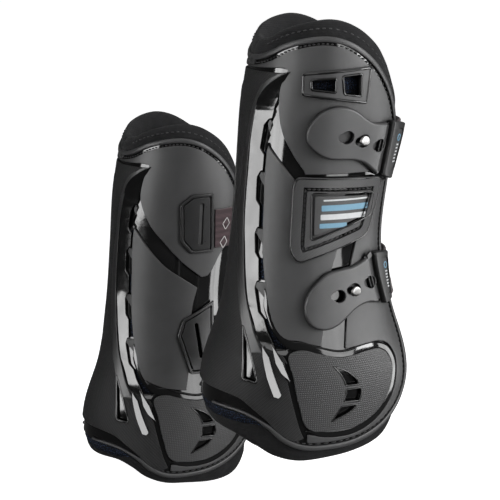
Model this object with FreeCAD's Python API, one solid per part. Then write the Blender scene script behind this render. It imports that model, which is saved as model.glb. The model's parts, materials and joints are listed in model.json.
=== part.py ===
import FreeCAD, Part
import math
import os

# A pair of horse tendon boots. Each boot is a moulded shell that wraps the back and both sides of the
# lower leg, with a neoprene liner inside, raised panels outside and two elastic straps across the front.
# Millimetres. +X is the front of the leg, -Y the outer (lateral) side of the right boot, +Z is up.
# The origin is on the leg's axis in the right boot, at the level of the pastern.

# ---- driving dimensions -------------------------------------------------------------------------
# The outer surface: height, reach to the rear, reach to the front and half width at each station.
STATIONS = (
    (-10, 63, 58.5, 45),
    (20, 63.5, 59.5, 47),
    (55, 60.5, 64, 47),
    (90, 49, 52, 43),
    (130, 42.5, 44.5, 39.5),
    (170, 39, 48, 40),
    (210, 36, 53, 42),
    (235, 32, 49.5, 43),
    (262, 29.5, 46, 43),
)
WIDEST_AT = 0.47  # where the greatest width lies, from the rear to the front
SQUARENESS = 2.15  # exponent of the oval section; 2 is an ellipse
SECTION_STEP = 20  # height between the lofted sections
SECTION_TURN = 15  # degrees between the points of a section
LOW, HIGH = -14, 272  # ends of the lofted surfaces

SHELL = 2.5  # wall of the moulded shell
MESH = 0.8  # air mesh behind the shell
LINER = 5.2  # neoprene liner
ROLL = 7.5  # padded roll around the liner's ends
PANEL = 1.4  # raised matte panels
FRAME = 3.1  # height of the moulded frames over the shell
PAD = 2.2  # height of the pads inside the frames
PRINT = 0.4  # height of the badge's bars over its pad
RIM = 4  # width of the stitched binding along the shell's edge
SLOT = 17  # half width of the open front
CLEAR = 0.1  # between one layer and the next

TAB_LOW, TAB_TOP = 1.9, 4.9  # under and outer face of a strap tab, over the shell
ELASTIC_LOW, ELASTIC_TOP = 1.7, 3.1
BLOCK_TOP = 7
BLOCK_RECESS = 1  # depth of the slot in a block
BLOCK_REAR = -35.5  # the Y value of a strap block's rear edge
HINGE_GAP = 1.5  # groove between a tab and its block
STUD_SHANK, STUD_HEAD, STUD_TOP = 1.8, 2.8, 7.3
WASHER = 4.2
HOLE_WIDE, HOLE_NARROW, HOLE_PITCH = 3.6, 2.4, 2.4  # a keyhole's two radii and how far apart they are

LEFT_SHIFT = FreeCAD.Vector(-49, 170, -77)  # where the left boot stands from the right one
LEFT_TURN = 3  # degrees about +Z

FAR = 110  # longer than any half of the boot


# ---- the wrapped surface ------------------------------------------------------------------------
def station(z):
    """Rear reach, front reach and half width at a height, smoothly through the stations."""
    i = 0
    while i < len(STATIONS) - 2 and z > STATIONS[i + 1][0]:
        i += 1
    before = STATIONS[max(i - 1, 0)]
    low, high = STATIONS[i], STATIONS[i + 1]
    after = STATIONS[min(i + 2, len(STATIONS) - 1)]
    span = high[0] - low[0]
    t = (z - low[0]) / span
    if t < 0 or t > 1:
        return [low[k] + t * (high[k] - low[k]) for k in (1, 2, 3)]
    values = []
    for k in (1, 2, 3):
        slope_low = (high[k] - before[k]) / (high[0] - before[0]) * span
        slope_high = (after[k] - low[k]) / (after[0] - low[0]) * span
        values.append(
            (2 * t**3 - 3 * t**2 + 1) * low[k]
            + (t**3 - 2 * t**2 + t) * slope_low
            + (3 * t**2 - 2 * t**3) * high[k]
            + (t**3 - t**2) * slope_high
        )
    return values


def surface(angle, z, over=0.0):
    """Point at an angle from the rear, in degrees towards -Y, on the surface grown by `over`."""
    rear, front, half = station(z)
    middle = -rear + (front + rear) * WIDEST_AT
    c = math.cos(math.radians(angle))
    s = math.sin(math.radians(angle))
    reach = (middle + rear + over) if c > 0 else (front - middle + over)
    x = middle - reach * math.copysign(abs(c) ** (2 / SQUARENESS), c)
    y = -(half + over) * math.copysign(abs(s) ** (2 / SQUARENESS), s)
    return FreeCAD.Vector(x, y, z)


def angle_where(test, z, over=0.0):
    """Angle on the -Y side where the falling test of a point first fails, found by halving."""
    low, high = 0.0, 180.0
    for _ in range(40):
        middle = (low + high) / 2
        if test(surface(middle, z, over)):
            low = middle
        else:
            high = middle
    return low


def loft(over, extra=0):
    """Solid bounded by the surface grown by `over`."""
    wires = []
    count = round((HIGH - LOW) / SECTION_STEP)
    low, high = LOW - extra, HIGH + extra
    for i in range(count + 1):
        z = low + (high - low) * i / count
        points = [surface(a, z, over) for a in range(0, 360, SECTION_TURN)]
        ring = Part.BSplineCurve()
        ring.interpolate(Points=points, PeriodicFlag=True, Parameters=list(range(len(points) + 1)))
        wires.append(Part.Wire(ring.toShape()))
    return Part.makeLoft(wires, True, False)


LAYERS = {}


def layer(inner, outer):
    """Sleeve between the surface grown by `inner` and by `outer`."""
    if (inner, outer) not in LAYERS:
        LAYERS[inner, outer] = loft(outer).cut(loft(inner, extra=3))
    return LAYERS[inner, outer]


# ---- outlines -----------------------------------------------------------------------------------
def outline(*runs):
    """Closed outline of smooth runs of points, joined by straight lines where they don't meet."""
    edges = []
    last = None
    for run in runs:
        points = [FreeCAD.Vector(u, 0, v) for u, v in run]
        if last is not None and last.distanceToPoint(points[0]) > 1e-6:
            edges.append(Part.makeLine(last, points[0]))
        if len(points) == 2:
            edges.append(Part.makeLine(points[0], points[1]))
        elif len(points) > 2:
            curve = Part.BSplineCurve()
            curve.interpolate(Points=points)
            edges.append(curve.toShape())
        last = points[-1]
    first = FreeCAD.Vector(runs[0][0][0], 0, runs[0][0][1])
    if last.distanceToPoint(first) > 1e-6:
        edges.append(Part.makeLine(last, first))
    return Part.Face(Part.Wire(edges))


def rounded(points, radius):
    """Closed polygon with its corners rounded."""
    corners = [FreeCAD.Vector(u, 0, v) for u, v in points]
    edges = []
    ends = []
    for i, corner in enumerate(corners):
        back = corners[i - 1] - corner
        ahead = corners[(i + 1) % len(corners)] - corner
        reach = min(radius, back.Length * 0.45, ahead.Length * 0.45)
        start = corner + back.normalize() * reach
        end = corner + ahead.normalize() * reach
        mid = (start + end) * 0.25 + corner * 0.5
        ends.append((start, mid, end))
    for i, (start, mid, end) in enumerate(ends):
        edges.append(Part.Arc(start, mid, end).toShape())
        edges.append(Part.makeLine(end, ends[(i + 1) % len(ends)][0]))
    return Part.Face(Part.Wire(edges))


def side(face, sign=-1):
    """An X-Z outline pushed through one side of the boot: -1 the outer side, +1 the inner side."""
    return face.extrude(FreeCAD.Vector(0, sign * FAR, 0))


def through(face):
    """An X-Z outline pushed through both sides."""
    moved = face.copy()
    moved.translate(FreeCAD.Vector(0, -FAR, 0))
    return moved.extrude(FreeCAD.Vector(0, 2 * FAR, 0))


def box(x0, x1, y0, y1, z0, z1):
    return Part.makeBox(x1 - x0, y1 - y0, z1 - z0, FreeCAD.Vector(x0, y0, z0))


def open_front(shape):
    """The sleeve with the slot at the front of the leg taken out."""
    return shape.cut(box(10, FAR, -SLOT, SLOT, LOW, HIGH))


def inset(run, distance):
    """A run of points moved sideways, to the right of its own direction."""
    moved = []
    for i, (u, v) in enumerate(run):
        before, after = run[max(i - 1, 0)], run[min(i + 1, len(run) - 1)]
        du, dv = after[0] - before[0], after[1] - before[1]
        length = math.hypot(du, dv)
        moved.append((u + distance * dv / length, v - distance * du / length))
    return moved


def joined(first, *others):
    result = first
    for other in others:
        result = result.fuse(other)
    return result


# ---- outlines of the boot, seen from the side (X, Z) -----------------------------------------------
BACK = -90  # behind the boot
EDGE_TOP = [(-36, 236), (-30, 240), (-22, 246), (-12, 249.5), (0, 250.5), (12, 247.5), (24, 240)]
EDGE_TOP += [(33, 231), (39.5, 221), (44, 210), (46.5, 199)]
EDGE_FRONT = [(46.5, 199), (46, 185), (43.5, 168), (41, 150), (40, 136), (40.5, 122), (44, 104)]
EDGE_FRONT += [(48.5, 90), (53, 75), (55.5, 60), (55, 46), (50, 34)]
EDGE_BOTTOM = [(50, 34), (38, 23), (20, 16), (2, 14), (-15, 15), (-26, 20), (-35, 28), (-47, 35), (-62, 37)]
EDGE = EDGE_TOP + EDGE_FRONT[1:] + EDGE_BOTTOM[1:]
ROLL_TOP = [(-34, 243), (-29, 250), (-20, 256), (-8, 258.5), (4, 257.5), (16, 253), (28, 244.5), (38, 235)]
ROLL_BOTTOM = [(52, 28), (40, 18), (22, 10.5), (4, 8), (-15, 9.5), (-34, 14), (-50, 21), (-63, 24)]

SHELL_SIDE = outline([(BACK, 236), (-36, 236)], EDGE, [(-62, 37), (BACK, 37)])
FIELD_SIDE = outline([(BACK, 232), (-34, 232)], inset(EDGE, RIM), [(-62, 41), (BACK, 41)])

GUARD_FRONT = [(-33, 229), (-36.5, 205), (-38.5, 175), (-40, 148), (-41.5, 122), (-41, 102), (-38, 78)]
GUARD_FRONT += [(-34, 56), (-29, 42)]
GUARD_SIDE = outline([(BACK, 229), (-33, 229)], GUARD_FRONT, [(-29, 42), (-36, 37.5), (-48, 44), (-62, 46)],
                     [(-62, 46), (BACK, 46)])

VENT_HEIGHTS = ((173, 187), (142, 156), (112, 125), (74, 91))
VENT_REAR, VENT_FRONT = -34.5, -31
TRIANGLE = ((-43, 86), (-46, 56), (-39, 54.5))

FETLOCK = [(-22, 71), (-15, 74), (-5, 71.5), (8, 68.5), (25, 70.5), (32, 70.5), (37.5, 67.5), (41.5, 61)]
FETLOCK += [(42, 53), (39, 42), (31, 32.5), (17, 26), (1, 25), (-12, 28), (-17, 42), (-20, 58), (-22, 71)]
FETLOCK_GROOVE = [(-26, 72), (-16, 77), (-5, 74), (8, 71), (25, 73), (33, 73), (39, 70), (43.7, 62)]
FETLOCK_GROOVE += [(44.3, 53), (41, 40.5), (32.5, 30.5), (18, 23.5), (1, 22.5), (-15, 26), (-21, 42)]
FETLOCK_GROOVE += [(-25, 58), (-26, 72)]

CRESCENT_OUTER = [(3, 64), (13, 59), (19.5, 51), (20, 44), (15, 37), (2, 31)]
CRESCENT_INNER = [(2, 31), (7, 38), (10.5, 45), (10.5, 52), (8, 58), (3, 64)]
CRESCENT_BARS = (41, 51)  # heights of the cross bars
BAR = 1.6

UPPER_REAR = [(-20, 232), (-23.5, 222), (-24.5, 210), (-23, 197), (-18, 185), (-12, 175)]
LOWER_REAR = [(-30, 190), (-30, 160), (-31, 130), (-32, 106), (-29, 89), (-24, 80)]
LOWER_HEAD = [(-12, 162), (-19, 170), (-25, 180), (-30, 190)]
INNER_UPPER_REAR = [(-20, 232), (-24, 220), (-25.5, 208), (-21, 192), (-12, 179), (0, 165), (13, 154)]
INNER_LOWER_HEAD = [(10, 147), (0, 154), (-12, 163), (-23, 177), (-30, 190)]

BADGE = ((-16, 173), (35, 171), (30, 153), (25, 137), (-16, 123), (-20, 130), (-18, 168))
BADGE_HOLE = ((-13, 167.5), (33, 166), (30, 148), (-11, 130), (-14.5, 135))
BADGE_BODY = ((-8, 163.5), (28, 162), (26.5, 149.5), (-8.5, 137))
BAR_HEIGHTS = (145.5, 150, 154.5)
VENT_FRAME = ((-13.5, 231), (24, 234), (22, 213), (-14, 218))
WINDOW_REAR = ((-9, 227), (3.5, 228), (3.5, 220), (-9, 221.5))
WINDOW_FRONT = ((7, 229), (18, 230), (18, 217.5), (8, 219))

TAB_UPPER = [(60, 203), (40, 202.5), (33, 201.8), (26.5, 202.5), (21, 205.5), (16.5, 209), (11, 211.7), (3.5, 212.3)]
TAB_UPPER += [(-4, 209.3), (-8.5, 204.6), (-11.3, 198), (-10.5, 191.5), (-5.5, 186), (0.5, 183), (7.5, 182.3), (14, 182)]
TAB_UPPER += [(20, 180), (25, 176), (29, 172.5), (38, 168.5), (60, 166)]
TAB_LOWER = [(60, 131), (36, 129.5), (30, 127.6), (25, 125), (20, 122.2), (14, 120.1), (8, 119.4), (0, 117.6)]
TAB_LOWER += [(-6.4, 112.2), (-11, 106), (-13, 98), (-12, 92), (-8.5, 87), (-3, 85), (2, 85.5), (7, 88), (13, 93)]
TAB_LOWER += [(18, 96.5), (24.5, 98), (32, 96.4), (60, 94)]
STRAPS = {  # the block and its slot are given as Y and Z
    "upper": {
        "tab": TAB_UPPER,
        "holes": ((10, 195.2), (19.3, 192.8), (29.4, 189.4)),
        "block": ((BLOCK_REAR, 171.5), (BLOCK_REAR, 203), (-24.5, 200.5), (-30, 169)),
        "slot": ((-33.6, 176), (-33.6, 198.5), (-27, 197), (-31, 174.5)),
    },
    "lower": {
        "tab": TAB_LOWER,
        "holes": ((6.5, 104), (15.6, 106.8), (25.8, 109.5)),
        "block": ((BLOCK_REAR, 95), (BLOCK_REAR, 127), (-26.5, 125.5), (-30.5, 97)),
        "slot": ((-33.6, 100), (-33.6, 122.5), (-29, 121.5), (-31.6, 101)),
    },
}
ELASTIC_HEIGHTS = {"upper": (174, 201), "lower": (97, 124)}
ELASTIC_START = 21.5  # the X value where an elastic comes out of its anchor pad
ANCHORS = {
    "upper": {
        "frame": ((27, 212.5), (6, 212.5), (-2, 206), (-2, 180), (5, 171.5), (27, 171.5)),
        "pad": ((30, 209.5), (7, 209.5), (1, 205), (1, 181.5), (6.5, 174.5), (30, 174.5)),
        "slot": ((11.5, 206), (14, 206), (13, 177.5), (10.5, 177.5)),
    },
    "lower": {
        "frame": ((25, 138), (-1, 125.5), (-5, 114), (3, 87), (27, 87)),
        "pad": ((30, 136), (1, 123.5), (-2, 114), (5.5, 90), (30, 90)),
        "slot": ((7, 122), (9.5, 122), (12.5, 97.5), (10, 97.5)),
    },
}


# ---- helpers for features that stand square on the surface -------------------------------------
def square_to(x, z, over=0.0):
    """Point on the outer side above (x, z) and the level outward normal there."""
    angle = angle_where(lambda p: p.x < x, z)
    point = surface(angle, z, over)
    step = surface(angle + 0.5, z) - surface(angle - 0.5, z)
    normal = FreeCAD.Vector(step.y, -step.x, 0).normalize()
    return point, normal, step.normalize()


def peg(x, z, radius, inner, outer, ahead=0.0):
    """Cylinder square to the surface between two levels, moved `ahead` along the surface."""
    point, normal, along = square_to(x, z)
    base = point + normal * inner + along * ahead
    return Part.makeCylinder(radius, outer - inner, base, normal)


def shank_holes(shape):
    for strap in STRAPS.values():
        x, z = strap["holes"][1]
        shape = shape.cut(peg(x, z, STUD_SHANK, -10, 20))
    return shape


# ---- the pieces of a right boot --------------------------------------------------------------------
def vent_windows():
    cuts = []
    for low, high in VENT_HEIGHTS:
        drift = 3 if low < 100 else 0  # the lowest vent follows the panel forwards
        points = ((VENT_REAR, low + 2), (VENT_REAR, high - 3), (VENT_FRONT, high), (VENT_FRONT + drift, low))
        cuts.append(through(rounded(points, 1)))
    cuts.append(through(rounded(TRIANGLE, 1.2)))
    return cuts


def crescent_windows():
    crescent = through(outline(CRESCENT_OUTER, CRESCENT_INNER))
    bars = [box(-FAR, FAR, -FAR, FAR, z - BAR / 2, z + BAR / 2) for z in CRESCENT_BARS]
    return [crescent.cut(joined(*bars))]


def frame_windows():
    return [side(rounded(WINDOW_REAR, 1)), side(rounded(WINDOW_FRONT, 1))]


def outer_shell():
    shape = open_front(layer(-SHELL, 0).common(through(SHELL_SIDE)))
    for cut in vent_windows() + crescent_windows() + frame_windows():
        shape = shape.cut(cut)
    return shank_holes(shape)


def air_mesh():
    lower = outline([(BACK, 236), (-36, 236)], EDGE, [(-62, 28), (BACK, 28)])
    shape = open_front(layer(-SHELL - MESH, -SHELL - CLEAR).common(through(lower)))
    for strap in STRAPS.values():
        x, z = strap["holes"][1]
        shape = shape.cut(peg(x, z, WASHER, -8, 0))
    return shape


def liner():
    sleeve = layer(-SHELL - MESH - LINER, -SHELL - MESH - CLEAR)
    return open_front(sleeve.common(through(SHELL_SIDE)))


def top_roll():
    band = outline([(BACK, 243), (-34, 243)], ROLL_TOP, [(38, 235), (40, 222)],
                   list(reversed(EDGE_TOP[:9])), [(-36, 236), (BACK, 236)])
    return open_front(layer(-SHELL - ROLL, -0.6).common(through(band)))


def bottom_roll():
    band = outline([(BACK, 36.5), (-62, 36.5)], list(reversed(EDGE_BOTTOM)), [(50, 34), (52, 28)],
                   ROLL_BOTTOM, [(-63, 24), (BACK, 24)])
    sleeve = layer(-SHELL - MESH - ROLL, -SHELL - MESH)
    return open_front(sleeve.common(through(band)))


def binding(sign):
    rim = side(SHELL_SIDE, sign).cut(side(FIELD_SIDE, sign))
    return layer(CLEAR, PANEL).common(rim).common(box(-40, FAR, -FAR, FAR, 24, HIGH))


def tendon_guard():
    shape = layer(CLEAR, PANEL).common(through(GUARD_SIDE))
    return shape.cut(through(rounded(TRIANGLE, 1.2)))


def panel(region, sign):
    return layer(CLEAR, PANEL).common(side(FIELD_SIDE, sign)).common(side(region, sign))


def lateral_upper_panel():
    region = outline([(-22, 233.5), (-20, 232)], UPPER_REAR, [(-12, 174), (80, 173)], [(80, 300), (BACK, 300)],
                     [(BACK, 230.5), (-22, 233.5)])
    shape = panel(region, -1)
    for cut in frame_windows():
        shape = shape.cut(cut)
    return shank_holes(shape)


def lateral_side_panel():
    region = outline(LOWER_REAR, [(-24, 80), (-14, 60), (-9, 10)], [(80, 10), (80, 172)],
                     [(80, 172), (-10, 172)], [(-10, 172), (-12, 162)], LOWER_HEAD)
    return shank_holes(panel(region, -1).cut(side(outline(FETLOCK_GROOVE))))


def fetlock_panel(sign):
    shape = panel(outline(FETLOCK), sign)
    for cut in crescent_windows():
        shape = shape.cut(cut)
    return shape


def medial_upper_panel():
    region = outline([(-22, 233.5), (-20, 232)], INNER_UPPER_REAR, [(13, 154), (18, 155), (28, 170), (80, 196)],
                     [(80, 300), (BACK, 300)], [(BACK, 230.5), (-22, 233.5)])
    return panel(region, 1)


def medial_side_panel():
    region = outline(LOWER_REAR[:-1], [(-29, 89), (-16, 80), (0, 76)], [(0, 76), (4, 100), (6, 132), (10, 147)],
                     INNER_LOWER_HEAD)
    return panel(region, 1)


def vent_frame():
    shape = layer(PANEL + CLEAR, FRAME).common(side(rounded(VENT_FRAME, 1.5)))
    for cut in frame_windows():
        shape = shape.cut(cut)
    return shape


def badge_frame():
    ring = side(rounded(BADGE, 5)).cut(side(rounded(BADGE_HOLE, 3)))
    return layer(PANEL + CLEAR, FRAME).common(ring)


def badge_plate():
    """The plate with its raised bars."""
    shape = layer(PANEL + CLEAR, PAD)
    for i, z in enumerate(BAR_HEIGHTS):
        points = ((-5 + i, z - 1), (-5 + i, z + 2), (24, z + 2), (24, z - 1))
        shape = shape.fuse(layer(PAD - PRINT, PAD + PRINT).common(side(rounded(points, 0.8))))
    return shape.common(side(rounded(BADGE_BODY, 2))).removeSplitter()


def anchor(which):
    parts = ANCHORS[which]
    outer = side(rounded(parts["frame"], 2), 1).common(box(-FAR, ELASTIC_START, 0, FAR, 0, HIGH))
    inner = side(rounded(parts["pad"], 2), 1)
    frame = layer(PANEL + CLEAR, FRAME).common(outer.cut(inner))
    pad = layer(PANEL + CLEAR, PAD).common(outer)
    return frame.fuse(pad).cut(side(rounded(parts["slot"], 1), 1))


def elastic(which):
    low, high = ELASTIC_HEIGHTS[which]
    sleeve = layer(ELASTIC_LOW, ELASTIC_TOP)
    inner_side = sleeve.common(box(ELASTIC_START + 0.3, FAR, 0, FAR, low, high))
    outer_side = sleeve.common(box(20, FAR, BLOCK_REAR + 0.5, 0, low, high))
    return inner_side.fuse(outer_side).removeSplitter()


def block_shape(points, inner, outer):
    face = rounded(points, 1.2)
    face.rotate(FreeCAD.Vector(0, 0, 0), FreeCAD.Vector(0, 0, 1), 90)
    face.translate(FreeCAD.Vector(20, 0, 0))
    return layer(inner, outer).common(face.extrude(FreeCAD.Vector(FAR, 0, 0)))


def strap_block(which):
    strap = STRAPS[which]
    slot = block_shape(strap["slot"], BLOCK_TOP - BLOCK_RECESS, BLOCK_TOP)
    return block_shape(strap["block"], ELASTIC_TOP + CLEAR, BLOCK_TOP).cut(slot)


def block_inlays():
    low, high = BLOCK_TOP - BLOCK_RECESS + CLEAR, BLOCK_TOP - 0.3
    return Part.makeCompound([block_shape(strap["slot"], low, high) for strap in STRAPS.values()])


def strap_tab(which):
    strap = STRAPS[which]
    shape = layer(TAB_LOW, TAB_TOP).common(side(outline(strap["tab"])))
    shape = shape.common(box(-FAR, FAR, -FAR, BLOCK_REAR - HINGE_GAP, 0, HIGH))
    for x, z in strap["holes"]:
        shape = shape.cut(peg(x, z, HOLE_WIDE, 0, 12))
        shape = shape.cut(peg(x, z, HOLE_NARROW, 0, 12, ahead=-HOLE_PITCH))
    return shape


def strap_stud(which):
    x, z = STRAPS[which]["holes"][1]
    shank = peg(x, z, STUD_SHANK, -SHELL - MESH, STUD_TOP)
    head = peg(x, z, STUD_HEAD, STUD_TOP - 2, STUD_TOP)
    return shank.fuse(head).removeSplitter()


def stud_washers():
    rings = []
    for strap in STRAPS.values():
        x, z = strap["holes"][1]
        ring = peg(x, z, WASHER - 0.2, -8, 4).cut(peg(x, z, STUD_SHANK + CLEAR, -8, 4))
        rings.append(ring.common(layer(-SHELL - MESH, -SHELL - CLEAR)))
    return Part.makeCompound(rings)


RIGHT_BOOT = {
    "outer_shell": outer_shell,
    "air_mesh": air_mesh,
    "liner": liner,
    "top_roll": top_roll,
    "bottom_roll": bottom_roll,
    "lateral_binding": lambda: binding(-1),
    "medial_binding": lambda: binding(1),
    "tendon_guard": tendon_guard,
    "lateral_upper_panel": lateral_upper_panel,
    "lateral_side_panel": lateral_side_panel,
    "lateral_fetlock_panel": lambda: fetlock_panel(-1),
    "medial_upper_panel": medial_upper_panel,
    "medial_side_panel": medial_side_panel,
    "medial_fetlock_panel": lambda: fetlock_panel(1),
    "vent_frame": vent_frame,
    "badge_frame": badge_frame,
    "badge_plate": badge_plate,
    "stud_washers": stud_washers,
    "block_inlays": block_inlays,
}
for which in STRAPS:
    RIGHT_BOOT[which + "_anchor"] = lambda which=which: anchor(which)
    RIGHT_BOOT[which + "_elastic"] = lambda which=which: elastic(which)
    RIGHT_BOOT[which + "_block"] = lambda which=which: strap_block(which)
    RIGHT_BOOT[which + "_tab"] = lambda which=which: strap_tab(which)
    RIGHT_BOOT[which + "_stud"] = lambda which=which: strap_stud(which)


def left_of(shape):
    """The same piece of the left boot: a mirror image, turned and moved to where it stands."""
    left = shape.mirror(FreeCAD.Vector(0, 0, 0), FreeCAD.Vector(0, 1, 0))
    left.rotate(FreeCAD.Vector(0, 0, 0), FreeCAD.Vector(0, 0, 1), LEFT_TURN)
    left.translate(LEFT_SHIFT)
    return left


os.makedirs("parts", exist_ok=True)
for name, make in RIGHT_BOOT.items():
    piece = make()
    print(name, piece.isValid(), len(piece.Solids), round(piece.Volume))
    piece.exportStep("parts/right_" + name + ".step")
    left_of(piece).exportStep("parts/left_" + name + ".step")
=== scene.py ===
import json
import math

import bmesh
import bpy
import numpy as np
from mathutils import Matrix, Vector
from mathutils.geometry import delaunay_2d_cdt


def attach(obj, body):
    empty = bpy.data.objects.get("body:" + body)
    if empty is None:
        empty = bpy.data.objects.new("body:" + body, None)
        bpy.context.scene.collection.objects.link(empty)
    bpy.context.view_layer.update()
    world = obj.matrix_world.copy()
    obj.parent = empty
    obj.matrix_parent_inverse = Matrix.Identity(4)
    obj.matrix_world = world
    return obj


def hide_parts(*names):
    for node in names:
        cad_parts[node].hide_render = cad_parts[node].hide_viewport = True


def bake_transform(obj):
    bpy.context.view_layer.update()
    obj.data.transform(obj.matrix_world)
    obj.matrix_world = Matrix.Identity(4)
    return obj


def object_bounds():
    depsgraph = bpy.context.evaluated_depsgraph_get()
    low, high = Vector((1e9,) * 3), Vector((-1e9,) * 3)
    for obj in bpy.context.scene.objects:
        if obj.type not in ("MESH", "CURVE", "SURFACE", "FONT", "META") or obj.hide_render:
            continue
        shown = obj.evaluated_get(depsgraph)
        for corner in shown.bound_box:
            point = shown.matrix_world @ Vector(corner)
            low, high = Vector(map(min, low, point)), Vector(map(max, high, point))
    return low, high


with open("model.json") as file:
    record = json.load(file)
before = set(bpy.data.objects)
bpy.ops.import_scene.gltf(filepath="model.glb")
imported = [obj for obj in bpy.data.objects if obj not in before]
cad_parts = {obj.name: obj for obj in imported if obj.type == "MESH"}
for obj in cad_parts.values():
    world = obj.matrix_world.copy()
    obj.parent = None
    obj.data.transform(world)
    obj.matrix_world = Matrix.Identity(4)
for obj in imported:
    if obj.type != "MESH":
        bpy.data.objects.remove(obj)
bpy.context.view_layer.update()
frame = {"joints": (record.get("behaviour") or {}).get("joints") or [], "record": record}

MM = 0.001
SIDES = ("right", "left")

# ==== the wrapped surface, as in the CAD, in millimetres ==============================================
# height, reach to the rear, reach to the front and half width
STATIONS = np.array([
    (-10, 63, 58.5, 45), (20, 63.5, 59.5, 47), (55, 60.5, 64, 47), (90, 49, 52, 43), (130, 42.5, 44.5, 39.5),
    (170, 39, 48, 40), (210, 36, 53, 42), (235, 32, 49.5, 43), (262, 29.5, 46, 43),
], float)
WIDEST_AT = 0.47
SQUARENESS = 2.15
TO_FLAT = np.array([0.75, 1.0])  # rough millimetres of surface for a degree, and for a unit of height
MESH_TOP, LINER_TOP, LINER_FLOOR = -2.5, -3.3, -8.5  # heights over the surface
PANEL, FRAME, PAD = 1.4, 3.1, 2.2
PANEL_FLOOR, FRAME_FLOOR = -0.2, PANEL - 0.1
TAB_LOW, TAB_TOP = 1.9, 4.9
BLOCK_TOP, INLAY_TOP = 7.0, 6.2
BLOCK_FLOOR, INLAY_FLOOR = 3.15, 3.3
WEB_TOP, WEB_MIDDLE, WEB_FLOOR = 3.6, 3.3, 2.3  # of the thin web that a tab folds at
BLOCK_REAR = -35.5
HINGE_GAP = 1.5


def hermite(t, low, slope_low, high, slope_high):
    """Cubic from low to high with the given slopes, for t from 0 to 1."""
    return ((2 * t**3 - 3 * t**2 + 1) * low + (t**3 - 2 * t**2 + t) * slope_low
            + (3 * t**2 - 2 * t**3) * high + (t**3 - t**2) * slope_high)


def station(z):
    """Rear reach, front reach and half width at heights z."""
    z = np.asarray(z, float)
    tab = STATIONS
    last = len(tab) - 1
    i = np.clip(np.searchsorted(tab[:, 0], z, side="right") - 1, 0, last - 1)
    before, after = np.maximum(i - 1, 0), np.minimum(i + 2, last)
    low, high = tab[i], tab[i + 1]
    span = (high[..., 0] - low[..., 0])[..., None]
    t = ((z - low[..., 0])[..., None]) / span
    slope_low = (high - tab[before]) / (high[..., :1] - tab[before][..., :1]) * span
    slope_high = (tab[after] - low) / (tab[after][..., :1] - low[..., :1]) * span
    straight = low + t * (high - low)
    values = np.where((t < 0) | (t > 1), straight, hermite(t, low, slope_low, high, slope_high))
    return values[..., 1], values[..., 2], values[..., 3]


def surface(phi, z):
    """Points at angles phi from the rear, in degrees towards the outer side."""
    phi, z = np.broadcast_arrays(np.asarray(phi, float), np.asarray(z, float))
    rear, front, half = station(z)
    middle = -rear + (front + rear) * WIDEST_AT
    c, s = np.cos(np.radians(phi)), np.sin(np.radians(phi))
    reach = np.where(c > 0, middle + rear, front - middle)
    x = middle - reach * np.sign(c) * np.abs(c) ** (2 / SQUARENESS)
    y = -half * np.sign(s) * np.abs(s) ** (2 / SQUARENESS)
    return np.stack([x, y, z], -1)


def normals(phi, z):
    """Outward unit normals of the surface."""
    phi, z = np.broadcast_arrays(np.asarray(phi, float), np.asarray(z, float))
    around = surface(phi + 0.6, z) - surface(phi - 0.6, z)
    up = surface(phi, z + 0.6) - surface(phi, z - 0.6)
    n = np.cross(around, up)
    return n / np.linalg.norm(n, axis=-1, keepdims=True)


def lay(phi, z, h):
    """Points at height h over the surface."""
    return surface(phi, z) + normals(phi, z) * np.asarray(h, float)[..., None]


def metric(phi, z):
    """Millimetres of surface for a degree of phi."""
    return np.linalg.norm(surface(phi + 0.5, z) - surface(phi - 0.5, z), axis=-1)


def mean_metric(line):
    """The same, on average along a (phi, z) line."""
    return float(np.mean(metric(*line.T)))


def degree_at(phi, z):
    """Millimetres of surface for a degree of phi, at one place."""
    return float(metric(np.array([phi]), np.array([z]))[0])


def phi_at(x, z):
    """Angle on the outer side where the surface stands above (x, z)."""
    rear, front, _ = station(z)
    middle = -rear + (front + rear) * WIDEST_AT
    x = np.asarray(x, float)
    behind = np.clip((middle - x) / (middle + rear), 0, 1) ** (SQUARENESS / 2)
    ahead = np.clip((x - middle) / (front - middle), 0, 1) ** (SQUARENESS / 2)
    return np.degrees(np.arccos(np.where(x < middle, behind, -ahead)))


ARC_Z = np.arange(-20, 281, 4.0)
ARC_PHI = np.arange(-180, 181, 2.0)
_steps = np.linalg.norm(np.diff(surface(ARC_PHI[None, :], ARC_Z[:, None]), axis=1), axis=-1)
ARC = np.concatenate([np.zeros((len(ARC_Z), 1)), np.cumsum(_steps, 1)], 1)
ARC -= ARC[:, [len(ARC_PHI) // 2]]


def arc(phi, z):
    """Length round the surface from the rear, for textures."""
    fz = np.clip((np.asarray(z) - ARC_Z[0]) / 4.0, 0, len(ARC_Z) - 1.001)
    fp = np.clip((np.asarray(phi) - ARC_PHI[0]) / 2.0, 0, len(ARC_PHI) - 1.001)
    iz, ip = fz.astype(int), fp.astype(int)
    tz, tp = fz - iz, fp - ip
    low = ARC[iz, ip] * (1 - tp) + ARC[iz, ip + 1] * tp
    high = ARC[iz + 1, ip] * (1 - tp) + ARC[iz + 1, ip + 1] * tp
    return low * (1 - tz) + high * tz


# ==== outlines ========================================================================================
def resample(points, step, closed=False):
    """Points every `step` along a polyline."""
    p = np.asarray(points, float)
    if closed:
        p = np.vstack([p, p[:1]])
    length = np.concatenate([[0], np.cumsum(np.linalg.norm(np.diff(p, axis=0), axis=1))])
    count = max(int(round(length[-1] / step)), 2)
    at = np.linspace(0, length[-1], count + 1)
    out = np.stack([np.interp(at, length, p[:, k]) for k in (0, 1)], 1)
    return out[:-1] if closed else out


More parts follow.
